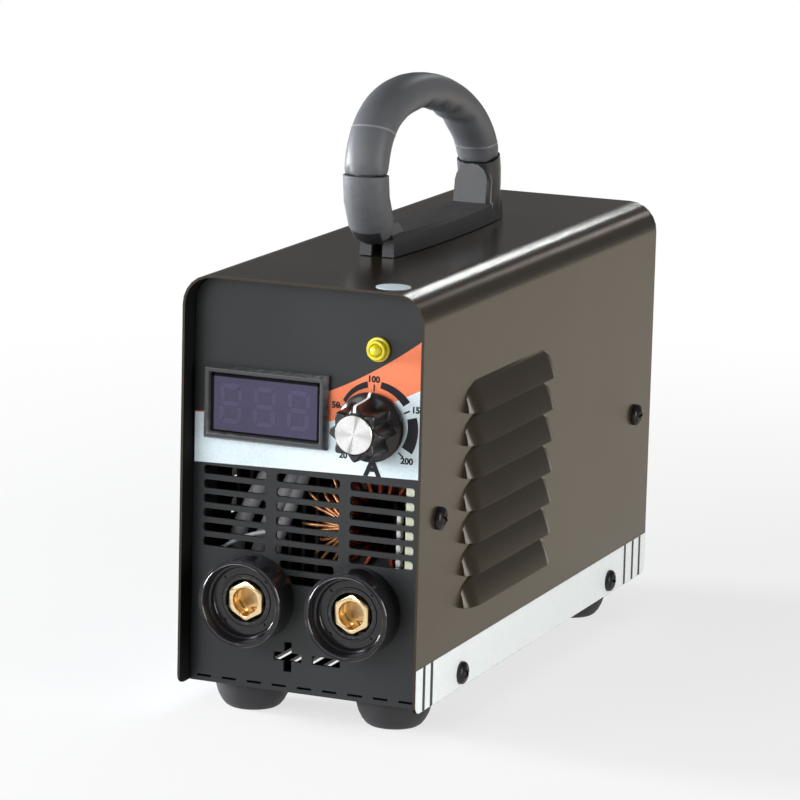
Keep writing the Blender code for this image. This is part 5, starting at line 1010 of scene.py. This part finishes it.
class INVERTER_OT_handle(bpy.types.Operator):
    """Smooth the handle's grip and its frame, with the light moulding seams of the grip"""
    bl_idname = "inverter.handle"
    bl_label = "Handle"

    def execute(self, context):
        grip = dressed("handle_grip", FINISH["handle_rubber"], "handle_rubber", subdivide=1, smooth=60)
        base = dressed("handle_frame", FINISH["handle_plastic"], "black_plastic", edge=0.0004)
        base.data.materials.append(FINISH["handle_rubber"])
        for face in base.data.polygons:
            if face.center.y < -0.0475 and face.center.z > CASE_TOP + 0.0085:
                face.material_index = 1
        low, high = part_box("handle_grip")
        self.seam(grip, "handle_seam_front", (0, low[1], 0.2075), (0, 0.42, 0.91),
                  (low[1] - 0.01, low[1] + 0.018))
        self.seam(grip, "handle_seam_rear", (0, high[1], low[2] + 0.0085), (0, -0.16, 0.985),
                  (high[1] - 0.018, high[1] + 0.01))
        return {"FINISHED"}

    def seam(self, grip, name, point, normal, reach):
        """A thin ring cut out of a copy of the grip, between two places along it, and swollen a little."""
        only(grip)
        bpy.ops.object.duplicate(linked=False)
        piece = bpy.context.object
        bpy.ops.object.parent_clear(type="CLEAR_KEEP_TRANSFORM")
        along = Vector(normal).normalized()
        cuts = ((Vector(point), along), (Vector(point) + along * 0.0006, -along),
                (Vector((0, reach[0], 0)), Vector((0, 1, 0))),
                (Vector((0, reach[1], 0)), Vector((0, -1, 0))))
        bpy.ops.object.mode_set(mode="EDIT")
        for spot, facing in cuts:
            bpy.ops.mesh.select_all(action="SELECT")
            bpy.ops.mesh.bisect(plane_co=spot, plane_no=facing, use_fill=True, clear_inner=True)
        bpy.ops.mesh.select_all(action="SELECT")
        bpy.ops.mesh.normals_make_consistent(inside=False)
        bpy.ops.transform.shrink_fatten(value=0.00012)
        bpy.ops.object.mode_set(mode="OBJECT")
        settled(piece, name, FINISH["seam_light"], "handle_rubber", smooth=50)


class INVERTER_OT_screws(bpy.types.Operator):
    """Make the cover's pan-head screws with their cross recess"""
    bl_idname = "inverter.screws"
    bl_label = "Screws"

    def execute(self, context):
        low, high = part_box("side_screw_right_1")
        radius = (high[2] - low[2]) / 2 * 1.02
        tall = high[0] - CASE_HALF
        profile = [(radius * 0.98, 0.0002), (radius, 0.0003), (radius, tall * 0.40)]
        for step in range(1, 7):
            angle = math.radians(step * 13.5)
            profile.append((radius * math.cos(angle), tall * 0.40 + tall * 0.60 * math.sin(angle)))
        model = turned(profile, 32, UNTURNED, (0, 0, 0))
        for angle in (0, 90):
            recess = begun(bpy.ops.mesh.primitive_cube_add, size=1.0, location=(0, 0, tall * 0.95))
            recess.scale = (radius * 1.05, radius * 0.24, tall * 0.9)
            recess.rotation_euler.z = math.radians(angle + 20)
            bpy.ops.object.transform_apply(location=True, rotation=True, scale=True)
            carve(model, recess)
        for side, turn, sign in (("right", RIGHT_TURN, 1), ("left", LEFT_TURN, -1)):
            for number in range(1, 5):
                name = f"side_screw_{side}_{number}"
                centre = middle(name)
                only(model)
                bpy.ops.object.duplicate(linked=False)
                copy = bpy.context.object
                spin = Matrix.Rotation(math.radians(37 * number + (0 if sign > 0 else 18)), 4, "Z")
                copy.matrix_world = Matrix.Translation((sign * CASE_HALF, centre.y, centre.z)) @ turn @ spin
                settled(copy, name + "_head", FINISH["black_screw"], "black_screw")
                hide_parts(name)
        bpy.data.objects.remove(model, do_unlink=True)
        return {"FINISHED"}


class INVERTER_OT_feet(bpy.types.Operator):
    """Make the rubber feet's rounded bowls"""
    bl_idname = "inverter.feet"
    bl_label = "Feet"

    def execute(self, context):
        for number in range(1, 5):
            name = f"foot_{number}"
            centre, radius, tall = middle(name), sizes().foot, LIFT
            profile = [(radius * 0.60, -tall + 0.0008), (radius * 0.62, -tall), (radius * 0.67, -tall),
                       (radius * 0.74, -tall * 0.94), (radius * 0.83, -tall * 0.80),
                       (radius * 0.92, -tall * 0.58), (radius * 0.98, -tall * 0.33),
                       (radius, -tall * 0.15), (radius, -0.0004), (radius * 0.97, -0.0002)]
            piece = turned(profile, 56, UNTURNED, (centre.x, centre.y, LIFT))
            settled(piece, name + "_skin", FINISH["foot_rubber"], "foot_rubber", smooth=50)
            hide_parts(name)
        return {"FINISHED"}


class INVERTER_OT_stripes(bpy.types.Operator):
    """Make the light strips with their dark bars on the side walls, and the sticker on top"""
    bl_idname = "inverter.stripes"
    bl_label = "Side strips and sticker"

    def execute(self, context):
        depth, high = sizes().print_depth, sizes().strip_height
        run = CASE_REAR - CASE_FRONT - 0.0006
        corner = 0.0034

        def low_edge(y):
            near = max(corner - min(y, run - y), 0.0)
            return corner - math.sqrt(max(corner ** 2 - near ** 2, 0.0)) + 0.0002

        def strip(along, across):
            ease = 0.5 - 0.5 * math.cos(math.pi * along)
            y = ease * run
            return Vector((y - run / 2, low_edge(y) + (high - low_edge(y)) * across, 0))

        bars = ((0.0061, 0.0082), (0.0130, 0.0152), (0.2090, 0.2110), (0.2178, 0.2198), (0.2256, 0.2276))
        along = (CASE_FRONT + CASE_REAR) / 2
        for side, turn, sign in (("right", RIGHT_TURN, 1), ("left", LEFT_TURN, -1)):
            x = sign * (CASE_HALF + PRINT_GAP)
            piece = ribbon(64, strip, depth)
            print_flat(piece, turn, (x, along, LIFT), f"side_strip_{side}", FINISH["strip_print"])
            for number, (start, stop) in enumerate(bars, 1):
                edges = oblong(sign * (start - run / 2), sign * (stop - run / 2), 0.0003, high)
                print_flat(ribbon(2, edges, depth / 2), turn, (x + sign * depth, along, LIFT),
                           f"side_bar_{side}_{number}", FINISH["dark_print"])
        radius = sizes().sticker
        profile = [(radius, 0.0), (radius, depth * 0.8), (radius - 0.0002, depth)]
        sticker = turned(profile, 48, UNTURNED, (0.029, CASE_FRONT + 0.0103, CASE_TOP + PRINT_GAP))
        settled(sticker, "round_sticker", FINISH["light_print"], "powder_coat")
        return {"FINISHED"}


class INVERTER_OT_rear(bpy.types.Operator):
    """Round the edges of the switch, the gland and the fan"""
    bl_idname = "inverter.rear"
    bl_label = "Rear fittings"

    def execute(self, context):
        look = FINISH["black_plastic"]
        for name in ("switch_body", "gland_body", "gland_cap", "gland_nut", "fan_frame"):
            dressed(name, look, "black_plastic", edge=0.0002, angle=40)
        dressed("switch_rocker", look, "black_plastic", "rocker", edge=0.0004, angle=40)
        dressed("fan_rotor", look, "black_plastic", "fan", edge=0.0001, segments=1, angle=50)
        return {"FINISHED"}


class INVERTER_OT_inside(bpy.types.Operator):
    """Make the wire ends, sleeved leads and terminal clips that show behind the front vents"""
    bl_idname = "inverter.inside"
    bl_label = "Wiring behind the vents"

    def execute(self, context):
        hub = Vector((0.0098, -0.0915, 0.0677))
        for number in range(14):
            angle = math.radians(106 + 11 * number)
            out = Vector((math.cos(angle), 0.0, math.sin(angle)))
            lean = Vector((0.0, 0.0006 * (number % 2), 0.0010 * (number % 3 - 1)))
            reach = 0.0145 + 0.0035 * math.sin(number * 1.9)
            path = (hub + out * 0.0035, hub + out * 0.0075 + lean, hub + out * reach + lean,
                    hub + out * (reach + 0.0035) + Vector((0, 0.0015, 0)),
                    hub + out * (reach + 0.0042) + Vector((0, 0.0042, 0)))
            strand(path, 0.00062, f"choke_wire_end_{number + 1}", FINISH["bright_copper"])
        leads = (((-0.0375, -0.0860, 0.0510), (-0.0365, -0.0890, 0.0600), (-0.0310, -0.0925, 0.0700),
                  (-0.0250, -0.0925, 0.0790), (-0.0215, -0.0890, 0.0880)),
                 ((-0.0290, -0.0850, 0.0500), (-0.0280, -0.0870, 0.0590), (-0.0225, -0.0900, 0.0680),
                  (-0.0160, -0.0900, 0.0770), (-0.0110, -0.0880, 0.0900)),
                 ((-0.0210, -0.0920, 0.0500), (-0.0195, -0.0930, 0.0590), (-0.0160, -0.0935, 0.0680),
                  (-0.0115, -0.0930, 0.0750), (-0.0085, -0.0900, 0.0880)))
        for number, path in enumerate(leads, 1):
            strand(path, 0.0030 if number < 3 else 0.0022, f"sleeved_lead_{number}", FINISH["cable_sleeve"])
        path = ((-0.0385, -0.0960, 0.0560), (-0.0350, -0.0975, 0.0585), (-0.0300, -0.0980, 0.0615),
                (-0.0250, -0.0975, 0.0635), (-0.0200, -0.0960, 0.0640))
        strand(path, 0.0007, "white_signal_wire", FINISH["strip_print"])
        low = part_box("terminal_strip")[0]
        for number in range(4):
            place = (low[0] - 0.0026, low[1] + 0.0014, 0.0766 - 0.00512 * number)
            clip = begun(bpy.ops.mesh.primitive_cube_add, size=1.0, location=place)
            clip.scale = (0.0018, 0.0024, 0.0036)
            bpy.ops.object.transform_apply(location=True, rotation=True, scale=True)
            modifier(clip, "BEVEL", width=0.0004, segments=3, limit_method="ANGLE")
            settled(clip, f"terminal_clip_{number + 1}", FINISH["zinc_steel"], "zinc_steel")
        return {"FINISHED"}


class INVERTER_OT_stage(bpy.types.Operator):
    """Make the floor, the lamps, the background and the camera"""
    bl_idname = "inverter.stage"
    bl_label = "Stage"

    def execute(self, context):
        scene = context.scene
        scene.view_settings.view_transform = "Standard"
        self.floor()
        self.world(scene)
        self.lamp("Lamp_key", (1.30, -0.35, 0.36), (0.0, 0.0, 0.09), (0.7, 0.7), 12.0, (1.0, 0.98, 0.95))
        self.lamp("Lamp_fill", (-0.68, -1.30, 0.62), (0.0, -0.05, 0.08), (1.3, 0.7), 15.5, (0.98, 0.98, 1.0))
        self.lamp("Lamp_left", (-1.35, -0.26, 0.24), (0.0, 0.0, 0.17), (0.4, 0.4), 48.0, (0.93, 0.96, 1.0))
        self.lamp("Lamp_bend", (-0.15, 1.36, 0.76), (0.045, 0.0, 0.15), (0.30, 0.03), 1.5, (0.97, 1.0, 1.0))
        self.lamp("Lamp_rear", (0.32, 1.40, 0.60), (0.0, 0.05, 0.12), (0.16, 0.16), 0.22, (1.0, 0.92, 0.84))
        self.camera(scene)
        return {"FINISHED"}

    def floor(self):
        """A pale floor that a camera sees almost white and that turned metal and gloss see dimmer."""
        floor = begun(bpy.ops.mesh.primitive_plane_add, size=12.0, location=(0, 0, -0.0001))
        floor.name = "Floor"
        bpy.ops.object.transform_apply(location=True)
        made = bpy.data.materials.new("pale_floor")
        made.use_nodes = True
        tree = made.node_tree
        tree.nodes.clear()
        out = node(tree, "ShaderNodeOutputMaterial")
        diffuse = node(tree, "ShaderNodeBsdfDiffuse")
        diffuse.inputs["Color"].default_value = (0.82, 0.82, 0.82, 1)
        glow = node(tree, "ShaderNodeEmission")
        paths = node(tree, "ShaderNodeLightPath")
        place = node(tree, "ShaderNodeTexCoord").outputs["Object"]
        away = node(tree, "ShaderNodeVectorMath", operation="LENGTH")
        tree.links.new(place, away.inputs[0])
        far = ramp(tree, away.outputs["Value"], 0.20, 0.70, 0.70, 1.0)
        near = ramp(tree, away.outputs["Value"], 0.8, 2.4, 0.75, 0.10)
        direct = maths(tree, "MAXIMUM", paths.outputs["Is Camera Ray"],
                       paths.outputs["Is Transmission Ray"])
        seen = maths(tree, "MAXIMUM", maths(tree, "MULTIPLY", direct, far),
                     maths(tree, "MULTIPLY", paths.outputs["Is Glossy Ray"], near))
        split = node(tree, "ShaderNodeSeparateXYZ")
        tree.links.new(place, split.inputs[0])
        right = ramp(tree, split.outputs["X"], 0.0, 0.12, 0.0, 1.0)
        warm = maths(tree, "MULTIPLY", paths.outputs["Is Glossy Ray"], right)
        light = blended(tree, "MIX", warm, (1.0, 1.0, 1.0), (0.97, 0.87, 0.71))
        tree.links.new(light, glow.inputs["Color"])
        mix = node(tree, "ShaderNodeMixShader")
        tree.links.new(seen, mix.inputs[0])
        tree.links.new(diffuse.outputs[0], mix.inputs[1])
        tree.links.new(glow.outputs[0], mix.inputs[2])
        tree.links.new(mix.outputs[0], out.inputs[0])
        floor.data.materials.append(made)

    def world(self, scene):
        """White for the camera, a dim room for the rest, a little brighter low down for gloss."""
        world = bpy.data.worlds.new("Studio")
        scene.world = world
        world.use_nodes = True
        tree = world.node_tree
        tree.nodes.clear()
        out = node(tree, "ShaderNodeOutputWorld")
        seen_light = node(tree, "ShaderNodeBackground")
        seen_light.inputs["Color"].default_value = (1, 1, 1, 1)
        room_light = node(tree, "ShaderNodeBackground")
        room_light.inputs["Color"].default_value = (1, 1, 1, 1)
        paths = node(tree, "ShaderNodeLightPath")
        seen_less = maths(tree, "MULTIPLY", paths.outputs["Is Glossy Ray"], 0.03)
        tree.links.new(maths(tree, "SUBTRACT", 0.16, seen_less), room_light.inputs["Strength"])
        split = node(tree, "ShaderNodeSeparateXYZ")
        tree.links.new(node(tree, "ShaderNodeTexCoord").outputs["Generated"], split.inputs[0])
        dim = ramp(tree, split.outputs["Z"], -0.05, 0.04, 0.25, 0.02)
        mirrored = maths(tree, "MULTIPLY", paths.outputs["Is Glossy Ray"], dim)
        seen = maths(tree, "MAXIMUM", maths(tree, "MAXIMUM", paths.outputs["Is Camera Ray"], mirrored),
                     paths.outputs["Is Transmission Ray"])
        mix = node(tree, "ShaderNodeMixShader")
        tree.links.new(seen, mix.inputs[0])
        tree.links.new(room_light.outputs[0], mix.inputs[1])
        tree.links.new(seen_light.outputs[0], mix.inputs[2])
        tree.links.new(mix.outputs[0], out.inputs[0])

    def lamp(self, name, place, target, size, power, tint):
        """An oblong studio lamp that faces its target."""
        lamp = begun(bpy.ops.object.light_add, type="AREA", location=place)
        lamp.name = name
        lamp.data.shape = "RECTANGLE"
        lamp.data.size, lamp.data.size_y = size
        lamp.data.energy = power
        lamp.data.color = tint
        lamp.rotation_euler = (Vector(target) - Vector(place)).to_track_quat("-Z", "Y").to_euler()

    def camera(self, scene):
        """The photograph's viewing angle, distance and focal length."""
        yaw, pitch, roll = (math.radians(angle) for angle in (22.49, 11.54, 1.45))
        back = Vector((math.sin(yaw) * math.cos(pitch), -math.cos(yaw) * math.cos(pitch), math.sin(pitch)))
        right = Vector((0, 0, 1)).cross(back).normalized()
        up = back.cross(right)
        side = math.cos(roll) * right + math.sin(roll) * up
        top = -math.sin(roll) * right + math.cos(roll) * up
        place = Vector((-0.01175, 0.0, 0.08377 + LIFT)) + back * 1.558
        camera = begun(bpy.ops.object.camera_add)
        camera.name = "Camera"
        camera.matrix_world = Matrix(((side.x, top.x, back.x, place.x), (side.y, top.y, back.y, place.y),
                                      (side.z, top.z, back.z, place.z), (0, 0, 0, 1)))
        camera.data.sensor_width = 36.0
        camera.data.lens = 4235.352 / 800 * 36.0
        camera.data.clip_end = 20.0
        scene.camera = camera


STEPS = (INVERTER_OT_finishes, INVERTER_OT_casing, INVERTER_OT_label, INVERTER_OT_dial, INVERTER_OT_meter,
         INVERTER_OT_lamp, INVERTER_OT_knob, INVERTER_OT_sockets, INVERTER_OT_handle, INVERTER_OT_screws,
         INVERTER_OT_feet, INVERTER_OT_stripes, INVERTER_OT_rear, INVERTER_OT_inside, INVERTER_OT_stage)


class INVERTER_PT_panel(bpy.types.Panel):
    """Lists the steps that dress the model"""
    bl_idname = "INVERTER_PT_panel"
    bl_label = "Stick welding inverter"
    bl_space_type = "VIEW_3D"
    bl_region_type = "UI"
    bl_category = "Inverter"

    def draw(self, context):
        layout = self.layout
        for step in STEPS:
            layout.operator(step.bl_idname)
        for group_name in ("inverter_sizes", "inverter_colours"):
            values = getattr(context.scene, group_name)
            box = layout.box()
            for key in values.__annotations__:
                box.prop(values, key)


CLASSES = (InverterColours, InverterSizes, *STEPS, INVERTER_PT_panel)


def register():
    """Make the settings, the steps and the sidebar known to Blender."""
    for cls in CLASSES:
        bpy.utils.register_class(cls)
    bpy.types.Scene.inverter_colours = PointerProperty(type=InverterColours)
    bpy.types.Scene.inverter_sizes = PointerProperty(type=InverterSizes)


def unregister():
    """Take them out again."""
    del bpy.types.Scene.inverter_sizes
    del bpy.types.Scene.inverter_colours
    for cls in reversed(CLASSES):
        bpy.utils.unregister_class(cls)


def main():
    """Run the steps in order."""
    register()
    for step in STEPS:
        family, action = step.bl_idname.split(".")
        getattr(getattr(bpy.ops, family), action)()


if __name__ == "__main__":
    main()
